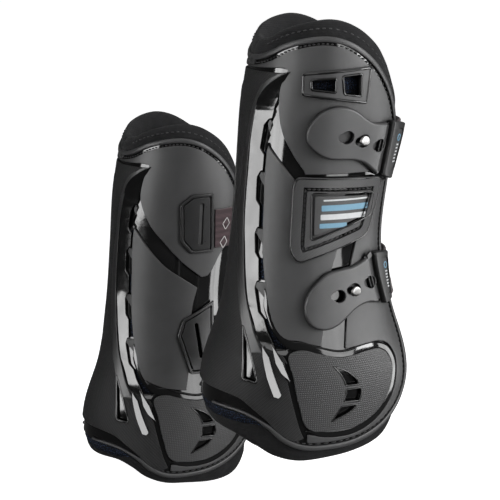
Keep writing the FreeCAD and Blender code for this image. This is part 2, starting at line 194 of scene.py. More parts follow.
def smooth(points, step=1.0, closed=False):
    """A smooth run through the points."""
    p = np.asarray(points, float)
    if closed:
        p = np.vstack([p[-1], p, p[:2]])
    else:
        p = np.vstack([2 * p[0] - p[1], p, 2 * p[-1] - p[-2]])
    out = []
    for i in range(1, len(p) - 2):
        a, b, c, d = p[i - 1], p[i], p[i + 1], p[i + 2]
        t = np.linspace(0, 1, 12, endpoint=False)[:, None]
        chord = [max(np.linalg.norm(q - r), 1e-6) ** 0.5 for q, r in ((b, a), (c, b), (d, c))]
        m1 = (c - b) + chord[1] * ((b - a) / chord[0] - (c - a) / (chord[0] + chord[1]))
        m2 = (c - b) + chord[1] * ((d - c) / chord[2] - (d - b) / (chord[1] + chord[2]))
        out.append(hermite(t, b, m1, c, m2))
    out = np.vstack(out + ([] if closed else [p[-2:-1]]))
    return resample(out, step, closed)


def rounded(points, radius, step=0.8):
    """A closed polygon with rounded corners."""
    p = [np.array(q, float) for q in points]
    out = []
    for i, corner in enumerate(p):
        back, ahead = p[i - 1] - corner, p[(i + 1) % len(p)] - corner
        lb, la = np.linalg.norm(back), np.linalg.norm(ahead)
        reach = min(radius, lb * 0.45, la * 0.45)
        start, end = corner + back / lb * reach, corner + ahead / la * reach
        t = np.linspace(0, 1, max(4, int(reach / step * 2)))[:, None]
        out.append((1 - t) ** 2 * start + 2 * t * (1 - t) * corner + t**2 * end)
    return resample(np.vstack(out), step, closed=True)


def evened(line, step, closed=False):
    """Points every `step` along a (phi, z) line."""
    return resample(np.asarray(line, float) * TO_FLAT, step, closed) / TO_FLAT


def inset_run(run, distance):
    """A run of points moved to the right of its own direction."""
    p = np.asarray(run, float)
    d = np.gradient(p, axis=0)
    d /= np.linalg.norm(d, axis=1, keepdims=True)
    return p + distance * np.stack([d[:, 1], -d[:, 0]], 1)


def up(loop, side=1):
    """An outline seen from the side, taken up to the (phi, z) of the surface."""
    loop = np.asarray(loop, float)
    return np.stack([side * phi_at(*loop.T), loop[:, 1]], 1)


def area(loop):
    """Area of a closed outline, positive when it runs to the left."""
    x, y = loop.T
    return 0.5 * np.sum(x * np.roll(y, -1) - np.roll(x, -1) * y)


def facing(loop, positive=True):
    """The outline, running to the left round its inside if positive, else to the right."""
    return loop if (area(loop) > 0) == positive else loop[::-1]


def shifted(loop, distance, closed=True):
    """A (phi, z) line moved to its left by millimetres of surface."""
    m = metric(*loop.T)
    if closed:
        d = np.roll(loop, -1, axis=0) - np.roll(loop, 1, axis=0)
    else:
        d = np.gradient(loop, axis=0)
    d = d * np.stack([m, np.ones(len(m))], 1)
    d /= np.maximum(np.linalg.norm(d, axis=1, keepdims=True), 1e-9)
    move = np.stack([-d[:, 1] / m, d[:, 0]], 1)
    return loop + move * np.asarray(distance).reshape(-1, 1)


def inside(points, loop):
    """Which points lie inside a closed outline."""
    x, y = points[:, 0][:, None], points[:, 1][:, None]
    x1, y1 = loop[:, 0][None, :], loop[:, 1][None, :]
    x2, y2 = np.roll(loop[:, 0], -1)[None, :], np.roll(loop[:, 1], -1)[None, :]
    span = np.where(np.abs(y2 - y1) < 1e-12, 1e-12, y2 - y1)
    crossing = ((y1 > y) != (y2 > y)) & (x < (x2 - x1) * (y - y1) / span + x1)
    return crossing.sum(1) % 2 == 1


def within(points, loops):
    """Which points lie inside loops[0] and outside the others."""
    keep = inside(points, loops[0])
    for hole in loops[1:]:
        keep &= ~inside(points, hole)
    return keep


def distance_to(points, loops):
    """Millimetres of surface from points to the nearest corner of the loops."""
    m = metric(*points.T)[:, None]
    best = np.full(len(points), 1e9)
    for loop in loops:
        dx = (points[:, 0][:, None] - loop[:, 0][None, :]) * m
        dz = points[:, 1][:, None] - loop[:, 1][None, :]
        best = np.minimum(best, np.sqrt(dx**2 + dz**2).min(1))
    return best


# ==== mesh making =====================================================================================
class Mesh:
    """Vertices in the right boot's millimetres, with faces, texture places and fixed normals."""

    def __init__(self):
        self.v, self.f, self.uv, self.n = [], [], [], []
        self.count = 0

    def add(self, points, uv, normal=None):
        """Adds points with their texture places; returns their numbers."""
        points = np.asarray(points, float)
        start = self.count
        self.v.append(points)
        self.uv.append(np.asarray(uv, float))
        self.n.append(np.zeros_like(points) if normal is None else np.asarray(normal, float))
        self.count += len(points)
        return np.arange(start, self.count)

    def on_surface(self, phi, z, h, fixed=0):
        """Adds points at height h; fixed is 1 or -1 for an outward or inward normal, 0 for none."""
        phi, z = np.asarray(phi, float), np.asarray(z, float)
        h = np.broadcast_to(np.asarray(h, float), phi.shape)
        n = normals(phi, z) * np.broadcast_to(np.asarray(fixed, float), phi.shape)[:, None]
        return self.add(lay(phi, z, h), np.stack([arc(phi, z), z], 1), n)

    def quads(self, a, b, closed=False):
        """Faces between two rows of the same length."""
        n = len(a)
        for i in range(n if closed else n - 1):
            j = (i + 1) % n
            self.f.append((int(a[i]), int(a[j]), int(b[j]), int(b[i])))

    def join(self, other):
        """Takes in another mesh and returns itself."""
        shift = self.count
        self.v += other.v
        self.uv += other.uv
        self.n += other.n
        self.f += [tuple(i + shift for i in face) for face in other.f]
        self.count += other.count
        return self


def triangulate(loops, spacing, stay=0.6):
    """Triangles inside loops[0] and outside the others: points, triangles and where each input point went."""
    outer = loops[0]
    low, high = outer.min(0), outer.max(0)
    m = mean_metric(outer)
    du, dz = spacing / m, spacing * 0.87
    rows = [np.zeros((0, 2))]
    for k, z in enumerate(np.arange(low[1] + dz * 0.5, high[1], dz)):
        us = np.arange(low[0] + du * (0.25 + 0.5 * (k % 2)), high[0], du)
        rows.append(np.stack([us, np.full(len(us), z)], 1))
    grid = np.vstack(rows)
    grid = grid[within(grid, loops)]
    if len(grid):
        grid = grid[distance_to(grid, loops) > spacing * stay]
    points = np.vstack(loops + [grid])
    edges = []
    start = 0
    for loop in loops:
        n = len(loop)
        edges += [(start + i, start + (i + 1) % n) for i in range(n)]
        start += n
    flat = points * np.array([m, 1.0])
    out, _, faces, origin, _, _ = delaunay_2d_cdt([Vector(q) for q in flat], edges, [], 0, 1e-5)
    out = np.array([tuple(q) for q in out]) / np.array([m, 1.0])
    faces = np.array([f for f in faces if len(f) == 3])
    where = np.full(len(points), -1)
    for i, olds in enumerate(origin):
        for old in olds:
            where[old] = i
    return out, faces[within(out[faces].mean(1), loops)], where


def pruned(loop, distance, step):
    """The loop moved inwards, without the places where it would cross itself."""
    moved = shifted(loop, distance)
    moved = moved[distance_to(moved, [loop]) > distance * 0.97]
    m = mean_metric(loop)
    return resample(moved * [m, 1], step, closed=True) / [m, 1]


EDGE_ROUND = ((0.0, -0.45), (0.13, -0.13), (0.45, 0.0))


def tilted(height, phi, z):
    """Unit normals of a face that stands at height(phi, z) over the surface."""
    around = lay(phi + 0.2, z, height(phi + 0.2, z)) - lay(phi - 0.2, z, height(phi - 0.2, z))
    rise = lay(phi, z + 0.2, height(phi, z + 0.2)) - lay(phi, z - 0.2, height(phi, z - 0.2))
    n = np.cross(around, rise)
    return n / np.linalg.norm(n, axis=1, keepdims=True)


def patch(outer, top, floor, holes=(), rings=EDGE_ROUND, spacing=3.0, back=6.0, shape=None, hole_rings=None,
          flat=None):
    """A slab over the surface: outline and holes in (phi, z), its edges rounded by rings of (inset, drop
    from the top). shape(phi, z) adds to its height; flat gives its whole face one normal."""
    mesh = Mesh()
    loops = [facing(outer)] + [facing(hole, False) for hole in holes]
    added = (lambda p, z: 0 * p) if shape is None else shape
    walls = []
    for k, loop in enumerate(loops):
        rows = [(loop, floor + 0 * loop[:, 0])]
        for inset, drop in (rings if k == 0 or hole_rings is None else hole_rings):
            moved = shifted(loop, inset)
            rows.append((moved, top + drop + added(*moved.T)))
        walls.append(rows)
    points, tris, where = triangulate([rows[-1][0] for rows in walls], spacing)
    phi, z = points.T
    h = top + added(phi, z)
    if flat is not None:
        n = np.tile(flat / np.linalg.norm(flat), (len(phi), 1))
        face_of = mesh.add(lay(phi, z, h), np.stack([arc(phi, z), z], 1), n)
    elif shape is not None:
        n = tilted(lambda p, q: top + shape(p, q), phi, z)
        face_of = mesh.add(lay(phi, z, h), np.stack([arc(phi, z), z], 1), n)
    else:
        face_of = mesh.on_surface(phi, z, h, 1)
    mesh.f += [tuple(int(face_of[i]) for i in tri) for tri in tris]
    start = 0
    rims = []
    for rows in walls:
        n = len(rows[0][0])
        ids = [mesh.on_surface(*loop.T, height) for loop, height in rows[:-1]]
        ids.append(face_of[where[start:start + n]])
        for low, high in zip(ids, ids[1:]):
            mesh.quads(low, high, closed=True)
        rims.append(ids[0])
        start += n
    points, tris, where = triangulate(loops, back)
    under = mesh.on_surface(*points.T, floor, -1)
    joined = {int(under[w]): int(r) for w, r in zip(where, np.concatenate(rims)) if w >= 0}
    for a, b, c in tris:
        tri = [int(under[i]) for i in (a, c, b)]
        mesh.f.append(tuple(joined.get(i, i) for i in tri))
    return mesh


def ribbon(path, profile, closed=False, scale=None, lift=0.0):
    """Sweeps a closed profile of (across, height) along a (phi, z) path; across is to the path's left.
    scale gives each path point its own (across, height) factors."""
    mesh = Mesh()
    path = np.asarray(path, float)
    scale = np.ones((len(path), 2)) if scale is None else np.asarray(scale, float)
    lift = np.broadcast_to(np.asarray(lift, float), (len(path),))
    rows = []
    for across, height in profile:
        moved = shifted(path, across * scale[:, 0], closed)
        rows.append(mesh.on_surface(*moved.T, height * scale[:, 1] + lift))
    for low, high in zip(rows, rows[1:] + rows[:1]):
        mesh.quads(high, low, closed)
    if not closed:
        mesh.f.append(tuple(int(row[0]) for row in rows))
        mesh.f.append(tuple(int(row[-1]) for row in reversed(rows)))
    return mesh


def softened(values, half):
    """Running mean over `half` places on either side."""
    width = 2 * half + 1
    return np.convolve(np.pad(values, half, mode="edge"), np.ones(width) / width, mode="valid")


def narrowed(path, factor):
    """A ribbon's scale that narrows it by a factor for each point and keeps its height."""
    return np.stack([factor, np.ones(len(path))], 1)


def half_round(width, height, floor, count=5):
    """Closed profile of a bead that lies on a floor."""
    half = width / 2
    arch = [(-half * math.cos(t), height * math.sin(t) ** 0.8) for t in np.linspace(0, math.pi, count)]
    return [(-half, floor)] + arch + [(half, floor)]


STITCH_STEP = 0.25


def stitches(path, h, length=2.3, gap=0.9, width=0.55, closed=False):
    """Thread that dips through the surface along a (phi, z) path."""
    m = mean_metric(path)
    fine = resample(path * [m, 1], STITCH_STEP, closed) / [m, 1]
    per, used = int((length + gap) / STITCH_STEP), int(length / STITCH_STEP)
    turns = np.linspace(0, 2 * math.pi, 7)[:-1]
    section = [(width / 2 * math.cos(a), width / 2 * math.sin(a)) for a in turns]
    mesh = Mesh()
    for start in range(0, len(fine) - used, per):
        line = fine[start:start + used + 1:2]
        t = np.linspace(-1, 1, len(line))
        fat = np.sqrt(np.clip(1 - t**4, 0.04, 1))
        mesh.join(ribbon(line, section, scale=np.stack([fat, fat], 1), lift=h - 0.25 * t**4))
    return mesh


# ==== putting pieces in the scene =====================================================================
mounts = {m["name"]: m for m in frame["record"]["mounts"]}
LEFT_PLACE = np.array(mounts["left_leg_opening"]["pos_m"], float)
joints = {j["name"]: j for j in frame["joints"]}
_right_pin = np.array(joints["right_upper_strap_fold"]["pos_m"]) * [1, -1, 1]
_left_pin = np.array(joints["left_upper_strap_fold"]["pos_m"]) - LEFT_PLACE
LEFT_TURN = math.atan2(_left_pin[1], _left_pin[0]) - math.atan2(_right_pin[1], _right_pin[0])


def spun(p):
    """Right-boot points or vectors, mirrored and turned as the left boot stands."""
    p = p * [1, -1, 1]
    c, s = math.cos(LEFT_TURN), math.sin(LEFT_TURN)
    return np.stack([c * p[:, 0] - s * p[:, 1], s * p[:, 0] + c * p[:, 1], p[:, 2]], 1)


def placed(points, side):
    """Right-boot millimetres to row metres, for either boot."""
    p = np.asarray(points, float) * MM
    return spun(p) + LEFT_PLACE if side == "left" else p


def turned(vectors, side):
    """Right-boot directions to row directions, for either boot."""
    v = np.asarray(vectors, float)
    return spun(v) if side == "left" else v


def pair(name, mesh, material, nodes=(), body="boot"):
    """Makes the piece on both boots. Returns the two objects."""
    v, uv, n = np.vstack(mesh.v), np.vstack(mesh.uv), np.vstack(mesh.n)
    made = []
    for side in SIDES:
        data = bpy.data.meshes.new(side + "_" + name)
        faces = mesh.f if side == "right" else [tuple(reversed(face)) for face in mesh.f]
        data.from_pydata(placed(v, side).tolist(), [], faces)
        layer = data.uv_layers.new(name="surface")
        index = np.zeros(len(data.loops), int)
        data.loops.foreach_get("vertex_index", index)
        layer.data.foreach_set("uv", uv[index].astype(np.float32).ravel())
        if np.abs(n).max() == 0:
            bm = bmesh.new()
            bm.from_mesh(data)
            bmesh.ops.recalc_face_normals(bm, faces=bm.faces)
            bm.to_mesh(data)
            bm.free()
        data.shade_smooth()
        if np.abs(n).max() > 0:
            data.normals_split_custom_set_from_vertices(turned(n, side).tolist())
        data.materials.append(material)
        ob = bpy.data.objects.new(side + "_" + name, data)
        bpy.context.scene.collection.objects.link(ob)
        if body:
            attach(ob, side + "_" + body)
        if nodes:
            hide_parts(*[side + "_" + node for node in nodes])
        made.append(ob)
    return made


# ==== materials =======================================================================================
class Nodes:
    """Short-hand for building a node tree."""

    def __init__(self, name):
        self.material = bpy.data.materials.new(name)
        self.material.use_nodes = True
        self.tree = self.material.node_tree
        self.bsdf = self.tree.nodes["Principled BSDF"]
        uv = self.tree.nodes.new("ShaderNodeUVMap")
        uv.uv_map = "surface"
        self.uv = uv.outputs["UV"]
        parts = self.tree.nodes.new("ShaderNodeSeparateXYZ")
        self.tree.links.new(self.uv, parts.inputs[0])
        self.u, self.v = parts.outputs[0], parts.outputs[1]

    def set(self, **values):
        """Values of the surface shader, with _ for a space."""
        for key, value in values.items():
            self.bsdf.inputs[key.replace("_", " ")].default_value = value
        return self

    def math(self, how, a, b=0.0, c=None):
        """Sum, product and the like of sockets and numbers."""
        node = self.tree.nodes.new("ShaderNodeMath")
        node.operation = how
        for socket, value in zip(node.inputs, (a, b, c)):
            if value is None:
                continue
            if isinstance(value, (int, float)):
                socket.default_value = value
            else:
                self.tree.links.new(value, socket)
        return node.outputs[0]

    def texture(self, kind, scale, stretch=(1, 1, 1), **values):
        """A procedural texture over the surface, in millimetres."""
        mapping = self.tree.nodes.new("ShaderNodeMapping")
        mapping.inputs["Scale"].default_value = stretch
        self.tree.links.new(self.uv, mapping.inputs["Vector"])
        node = self.tree.nodes.new(kind)
        for key, value in dict(values, Scale=scale).items():
            node.inputs[key].default_value = value
        self.tree.links.new(mapping.outputs[0], node.inputs["Vector"])
        return node

    def noise(self, scale, detail=3.0, roughness=0.55):
        return self.texture("ShaderNodeTexNoise", scale, Detail=detail, Roughness=roughness).outputs["Fac"]

    def cells(self, scale, stretch, randomness):
        """Distance from the middle of the nearest cell."""
        node = self.texture("ShaderNodeTexVoronoi", scale, stretch, Randomness=randomness)
        return node.outputs["Distance"]

    def wave(self, value, period):
        """0 to 1 and back over a period in millimetres."""
        turn = self.math("MULTIPLY", value, 2 * math.pi / period)
        return self.math("MULTIPLY_ADD", self.math("SINE", turn), 0.5, 0.5)

    def ramp(self, value, low, high, a, b):
        """Colour a up to low, colour b from high."""
        node = self.tree.nodes.new("ShaderNodeValToRGB")
        node.color_ramp.elements[0].position = low
        node.color_ramp.elements[0].color = (*a, 1)
        node.color_ramp.elements[1].position = high
        node.color_ramp.elements[1].color = (*b, 1)
        self.tree.links.new(value, node.inputs[0])
        return node.outputs["Color"]

    def between(self, value, low, high, to_low, to_high):
        """Takes low..high to to_low..to_high."""
        node = self.tree.nodes.new("ShaderNodeMapRange")
        for key, number in (("From Min", low), ("From Max", high), ("To Min", to_low), ("To Max", to_high)):
            node.inputs[key].default_value = number
        self.tree.links.new(value, node.inputs["Value"])
        return node.outputs["Result"]

    def colour(self, output):
        """Base colour, with painted shade: darker in narrow places between parts, in holes and under raised
        edges.
        """
        # painted shade: ambient occlusion within 6 mm darkens every base colour in crevices, holes and under
        # raised edges
        crevice_shade = self.tree.nodes.new("ShaderNodeAmbientOcclusion")
        crevice_shade.samples = 8
        crevice_shade.inputs["Distance"].default_value = 6.0 * MM
        depth = self.between(crevice_shade.outputs["AO"], 0.35, 0.95, 0.12, 1.0)
        shaded_base = self.tree.nodes.new("ShaderNodeVectorMath")
        shaded_base.operation = "SCALE"
        self.tree.links.new(output, shaded_base.inputs[0])
        self.tree.links.new(depth, shaded_base.inputs["Scale"])
        self.tree.links.new(shaded_base.outputs[0], self.bsdf.inputs["Base Color"])
        return self

    def rough(self, output):
        self.tree.links.new(output, self.bsdf.inputs["Roughness"])
        return self

    def shade(self, value, low, high, a, b):
        """Base colour a to b along a value."""
        return self.colour(self.ramp(value, low, high, a, b))

    def uneven(self, scale, detail, low, high):
        """Roughness that wanders between two values."""
        return self.rough(self.between(self.noise(scale, detail), 0.3, 0.7, low, high))

    def bump(self, height, distance, strength=1.0):
        """Bump of a height from 0 to 1 that stands `distance` millimetres."""
        node = self.tree.nodes.new("ShaderNodeBump")
        node.inputs["Strength"].default_value = strength
        node.inputs["Distance"].default_value = distance * MM
        self.tree.links.new(height, node.inputs["Height"])
        self.tree.links.new(node.outputs[0], self.bsdf.inputs["Normal"])
        return self


def grey(value):
    """A neutral colour, a trace bluer."""
    return (value, value, value * 1.02)


def gloss_tpu():
    """Polished moulded shell."""
    m = Nodes("gloss_tpu")
    m.set(Roughness=0.07, IOR=1.5)
    cloud = m.noise(0.05, 2)
    m.shade(cloud, 0.3, 0.7, grey(0.008), grey(0.012))
    m.uneven(0.3, 4, 0.05, 0.10)
    return m.bump(m.noise(0.25, 2), 0.04, 0.4).material


def matte_tpu(name, low, high, roughness):
    """Fine-grained matt panel."""
    m = Nodes(name)
    m.set(IOR=1.48)
    cloud = m.noise(0.06, 3)
    m.shade(cloud, 0.3, 0.7, grey(low), grey(high))
    m.uneven(0.5, 3, roughness - 0.03, roughness + 0.04)
    return m.bump(m.noise(4.0, 3, 0.6), 0.035, 0.6).material


def twill_tpu(name, low, high, period, depth, roughness=0.5, specular=0.5):
    """Moulded texture of fine diagonal ribs broken into steps."""
    m = Nodes(name)
    m.set(IOR=1.47, Specular_IOR_Level=specular)
    diagonal = m.math("ADD", m.u, m.v)
    ribs = m.wave(diagonal, period)
    steps = m.wave(m.math("SUBTRACT", m.u, m.v), period * 2)
    height = m.math("MULTIPLY_ADD", steps, 0.35, m.math("MULTIPLY", ribs, 0.65))
    m.shade(height, 0.15, 0.85, grey(low), grey(high))
    m.uneven(0.5, 3, roughness - 0.04, roughness + 0.05)
    return m.bump(height, depth).material


def grid_tpu():
    """Fetlock panel: a fine square grid of raised dots."""
    m = Nodes("grid_tpu")
    m.set(IOR=1.47)
    height = m.math("MULTIPLY", m.wave(m.u, 1.25), m.wave(m.v, 1.25))
    m.shade(height, 0.05, 0.6, grey(0.032), grey(0.058))
    m.uneven(0.5, 3, 0.42, 0.5)
    return m.bump(height, 0.16).material


def navy_mesh():
    """Open spacer fabric: small holes in a navy knit with a few bluish glints."""
    m = Nodes("navy_mesh")
    m.set(Roughness=0.7, Specular_IOR_Level=0.15)
    holes = m.cells(0.95, (1, 0.8, 1), 0.25)
    glint = m.noise(1.1, 2)
    knit = m.ramp(glint, 0.5, 0.66, (0.0025, 0.0035, 0.007), (0.06, 0.10, 0.20))
    mix = m.tree.nodes.new("ShaderNodeMix")
    mix.data_type = "RGBA"
    m.tree.links.new(m.between(holes, 0.22, 0.42, 0.0, 1.0), mix.inputs["Factor"])
    mix.inputs["A"].default_value = (0.002, 0.002, 0.003, 1)
    m.tree.links.new(knit, mix.inputs["B"])
    m.colour(mix.outputs["Result"])
    return m.bump(m.between(holes, 0.15, 0.5, 0.0, 1.0), 0.35).material


def roll_fabric():
    """Soft knit over foam."""
    m = Nodes("roll_fabric")
    m.set(Sheen_Weight=0.05, Sheen_Roughness=0.5, Specular_IOR_Level=0.2)
    knit = m.math("MULTIPLY", m.wave(m.u, 0.8), m.wave(m.v, 1.0))
    cloud = m.noise(0.12, 4)
    m.shade(cloud, 0.3, 0.7, (0.007, 0.007, 0.0075), (0.013, 0.013, 0.014))
    m.uneven(0.6, 3, 0.72, 0.85)
    return m.bump(m.math("MULTIPLY_ADD", m.noise(0.3, 4), 1.5, knit), 0.12).material


def neoprene():
    """Liner: neoprene with small breathing holes."""
    m = Nodes("neoprene")
    m.set(Sheen_Weight=0.2, Sheen_Roughness=0.5)
    holes = m.cells(0.16, (1, 1, 1), 0.0)
    rim = m.between(holes, 0.10, 0.16, 0.0, 1.0)
    m.shade(rim, 0.2, 0.8, (0.002, 0.002, 0.002), (0.020, 0.020, 0.022))
    m.uneven(0.8, 3, 0.7, 0.85)
    return m.bump(m.math("MULTIPLY_ADD", m.noise(2.0, 3), 0.3, rim), 0.4).material


def elastic_web():
    """Woven elastic: fine ribs across the strap."""
    m = Nodes("elastic_web")
    m.set(Sheen_Weight=0.3, Sheen_Roughness=0.4)
    weave = m.math("MULTIPLY", m.wave(m.v, 0.9), m.wave(m.u, 0.7))
    m.shade(weave, 0.1, 0.7, (0.030, 0.014, 0.017), (0.075, 0.040, 0.046))
    m.uneven(0.5, 3, 0.68, 0.8)
    return m.bump(weave, 0.2).material


def thread(name, colour):
    """Twisted sewing thread."""
    m = Nodes(name)
    m.set(Sheen_Weight=0.2)
    twist = m.wave(m.math("ADD", m.u, m.v), 0.45)
    m.shade(twist, 0.2, 0.8, tuple(c * 0.7 for c in colour), colour)
    m.uneven(1.5, 2, 0.5, 0.65)
    return m.bump(twist, 0.08).material


def printed(name, colour):
    """Ink on a moulded face."""
    m = Nodes(name)
    m.set(IOR=1.45)
    m.shade(m.noise(0.6, 3), 0.35, 0.75, tuple(c * 0.92 for c in colour), colour)
    m.uneven(1.0, 2, 0.32, 0.42)
    return m.bump(m.wave(m.math("ADD", m.u, m.v), 0.9), 0.03).material


def stud_metal():
    """Brushed grey metal."""
    m = Nodes("stud_metal")
    m.set(Metallic=1.0)
    m.shade(m.noise(1.2, 3), 0.35, 0.7, (0.20, 0.197, 0.194), (0.32, 0.315, 0.31))
    m.uneven(2.5, 3, 0.30, 0.42)
    return m.bump(m.noise(3.0, 3), 0.03).material


MATERIALS = {
    "gloss": gloss_tpu(),
    "matte": matte_tpu("matte_tpu", 0.047, 0.056, 0.46),
    "tab": matte_tpu("tab_tpu", 0.054, 0.066, 0.42),
    "block": matte_tpu("block_tpu", 0.022, 0.028, 0.4),
    "anchor": matte_tpu("anchor_tpu", 0.022, 0.030, 0.3),
    "dark": matte_tpu("guard_border_tpu", 0.014, 0.019, 0.38),
    "guard": twill_tpu("guard_twill", 0.006, 0.026, 1.1, 0.16, 0.55, 0.28),
    "frame": twill_tpu("frame_twill", 0.038, 0.068, 0.95, 0.13, 0.45),
    "plate": twill_tpu("plate_ribs", 0.035, 0.055, 0.8, 0.08, 0.4),
    "grid": grid_tpu(),
    "mesh": navy_mesh(),
    "roll": roll_fabric(),
    "liner": neoprene(),
    "elastic": elastic_web(),
    "thread": thread("dark_thread", (0.022, 0.022, 0.023)),
    "motif": thread("pale_thread", (0.75, 0.73, 0.72)),
    "blue": printed("print_blue", (0.19, 0.38, 0.52)),
    "white": printed("print_white", (0.70, 0.72, 0.73)),
    "metal": stud_metal(),
}

# ==== outlines of the boot, seen from the side (x, z), as in the CAD ==================================
EDGE_TOP = [(-36, 236), (-30, 240), (-22, 246), (-12, 249.5), (0, 250.5), (12, 247.5), (24, 240),
            (33, 231), (39.5, 221), (44, 210), (46.5, 199)]
EDGE_FRONT = [(46.5, 199), (46, 185), (43.5, 168), (41, 150), (40, 136), (40.5, 122), (44, 104),
              (48.5, 90), (53, 75), (55.5, 60), (55, 46), (50, 34)]
EDGE_BOTTOM = [(50, 34), (38, 23), (20, 16), (2, 14), (-15, 15), (-26, 20), (-35, 28), (-47, 35),
               (-62, 37)]
EDGE = EDGE_TOP + EDGE_FRONT[1:] + EDGE_BOTTOM[1:]
VENT_HEIGHTS = ((173, 187), (142, 156), (112, 125), (74, 91))
TRIANGLE = ((-43, 86), (-46, 56), (-39, 54.5))
FETLOCK = [(-22, 71), (-15, 74), (-5, 71.5), (8, 68.5), (25, 70.5), (32, 70.5), (37.5, 67.5), (41.5, 61),
           (42, 53), (39, 42), (31, 32.5), (17, 26), (1, 25), (-12, 28), (-17, 42), (-20, 58)]
CRESCENT_OUTER = [(3, 64), (13, 59), (19.5, 51), (20, 44), (15, 37), (2, 31)]
CRESCENT_INNER = [(2, 31), (7, 38), (10.5, 45), (10.5, 52), (8, 58), (3, 64)]
CRESCENT_BARS = (41, 51)
UPPER_REAR = [(-20, 232), (-23.5, 222), (-24.5, 210), (-23, 197), (-18, 185), (-12, 175)]
INNER_UPPER_REAR = [(-20, 232), (-24, 220), (-25.5, 208), (-21, 192), (-12, 179), (0, 165), (13, 154)]
INNER_LOWER_HEAD = [(10, 147), (0, 154), (-12, 163), (-23, 177), (-30, 190)]
BADGE = ((-16, 173), (35, 171), (30, 153), (25, 137), (-16, 123), (-20, 130), (-18, 168))
BADGE_BODY = ((-8, 163.5), (28, 162), (26.5, 149.5), (-8.5, 137))
BROW = [(-20, 232), (-24, 232.6), (-33, 231.5)]
VENT_FRAME = ((-13.5, 231), (24, 234), (22, 213), (-14, 218))
WINDOW_REAR = ((-9, 227), (3.5, 228), (3.5, 220), (-9, 221.5))
WINDOW_FRONT = ((7, 229), (18, 230), (18, 217.5), (8, 219))
TAB_UPPER = [(32.5, 201.8), (26.5, 202.5), (21, 205.5), (16.5, 209), (11, 211.7), (3.5, 212.3),
             (-4, 209.3), (-8.5, 204.6), (-11.3, 198), (-10.5, 191.5), (-5.5, 186), (0.5, 183),
             (7.5, 182.3), (14, 182), (20, 180), (25, 176), (28, 173.4)]
TAB_LOWER = [(25.5, 125.4), (20, 122.2), (14, 120.1), (8, 119.4), (0, 117.6), (-6.4, 112.2), (-11, 106),
             (-13, 98), (-12, 92), (-8.5, 87), (-3, 85), (2, 85.5), (7, 88), (13, 93), (18, 96.5),
             (24.5, 98), (29.5, 97)]
# tabs and keyholes as (x, z), blocks and slots as (y, z)
STRAPS = {
    "upper": {"tab": TAB_UPPER, "holes": ((10, 195.2), (19.3, 192.8), (29.4, 189.4)), "ends": (201.9, 172.3),
              "block": ((BLOCK_REAR, 171.5), (BLOCK_REAR, 203), (-24.5, 200.5), (-30, 169)),
              "slot": ((-33.6, 176), (-33.6, 198.5), (-27, 197), (-31, 174.5))},
    "lower": {"tab": TAB_LOWER, "holes": ((6.5, 104), (15.6, 106.8), (25.8, 109.5)), "ends": (126.3, 96.8),
              "block": ((BLOCK_REAR, 95), (BLOCK_REAR, 127), (-26.5, 125.5), (-30.5, 97)),
              "slot": ((-33.6, 100), (-33.6, 122.5), (-29, 121.5), (-31.6, 101))},
}
ELASTIC_HEIGHTS = {"upper": (174, 201), "lower": (97, 124)}
ELASTIC_START, ELASTIC_TOP = 21.5, 3.1
ANCHORS = {
    "upper": {"frame": ((27, 212.5), (6, 212.5), (-2, 206), (-2, 180), (5, 171.5), (27, 171.5)),
              "slot": ((11.5, 206), (14, 206), (13, 177.5), (10.5, 177.5))},
    "lower": {"frame": ((25, 138), (-1, 125.5), (-5, 114), (3, 87), (27, 87)),
              "slot": ((7, 122), (9.5, 122), (12.5, 97.5), (10, 97.5))},
}


# ==== lines over the surface, as (height, degrees round from the rear) ================================
RIDGE_REAR = [(231, 49.7), (228.5, 42), (220.5, 28.5), (212, 21.9), (194, 16.4), (183, 15.2), (172, 15),
              (160, 14.8), (143, 16.1), (129, 19.7), (111.5, 25), (99.7, 30.2), (88.5, 37.6),
              (83.5, 40.8), (74.5, 48.5), (70, 53)]
RIDGE_FRONT = [(231, 51.5), (228.5, 49.3), (223.5, 45.8), (215.8, 42.8), (211.5, 40.2), (204.5, 38.2),
               (194, 35), (183.5, 32.6), (174.5, 32.6), (154.5, 32.6), (142, 33.9), (124.5, 37),
               (111.5, 39.3), (101, 43), (91, 47.9), (84.5, 52.2), (78.5, 57.5), (74, 60.5), (71, 62)]
GUARD_EDGE = [(230, 49.5), (228, 42.5), (220.5, 29.2), (212, 22.6), (194, 17.1), (172, 15.7),
              (160, 15.5), (143, 16.8), (129, 20.4), (111.5, 25.7), (99.7, 30.9), (88.5, 38.3),
              (83.5, 42), (76, 50), (72.5, 60), (70, 66.5), (66, 69)]
TWILL_EDGE = [(229.5, 40), (222.5, 25), (213, 18.9), (200.7, 14.5), (186, 11.8), (167.5, 7.6), (149, 7),
              (128, 11.6), (102.6, 21.4), (92.5, 26.5), (84, 32.5), (77, 38.5), (71, 43)]
# upper and lower height of a notch, and how deep it is in degrees
NOTCHES = ((204.3, 183.7, 6.5), (174.3, 154.3, 5.7), (142, 124.3, 4.6), (111.5, 90.8, 4.4))
SIDE_REAR = [(189.5, 38.2), (184, 37.2), (170, 37.3), (160, 38.3), (145, 39.6), (131, 41.5), (118, 44.6),
             (105.6, 48.4), (92, 54), (85, 59), (81, 64.2), (79.5, 68)]
SIDE_HEAD = [(164, 101), (164, 78), (167, 70), (173, 61), (180, 51.5), (186, 43), (189.5, 38.2)]
SIDE_FOOT = [(79.5, 68), (79, 75), (77, 82), (75.5, 88)]
GAP_REAR = [(75.5, 88), (85, 89.5), (105, 92), (121, 96), (130, 99), (150, 101), (164, 101)]
GAP_FRONT = [(74, 100.5), (86, 102.5), (105, 105.5), (121, 109.5), (134, 114), (150, 117), (168, 118)]
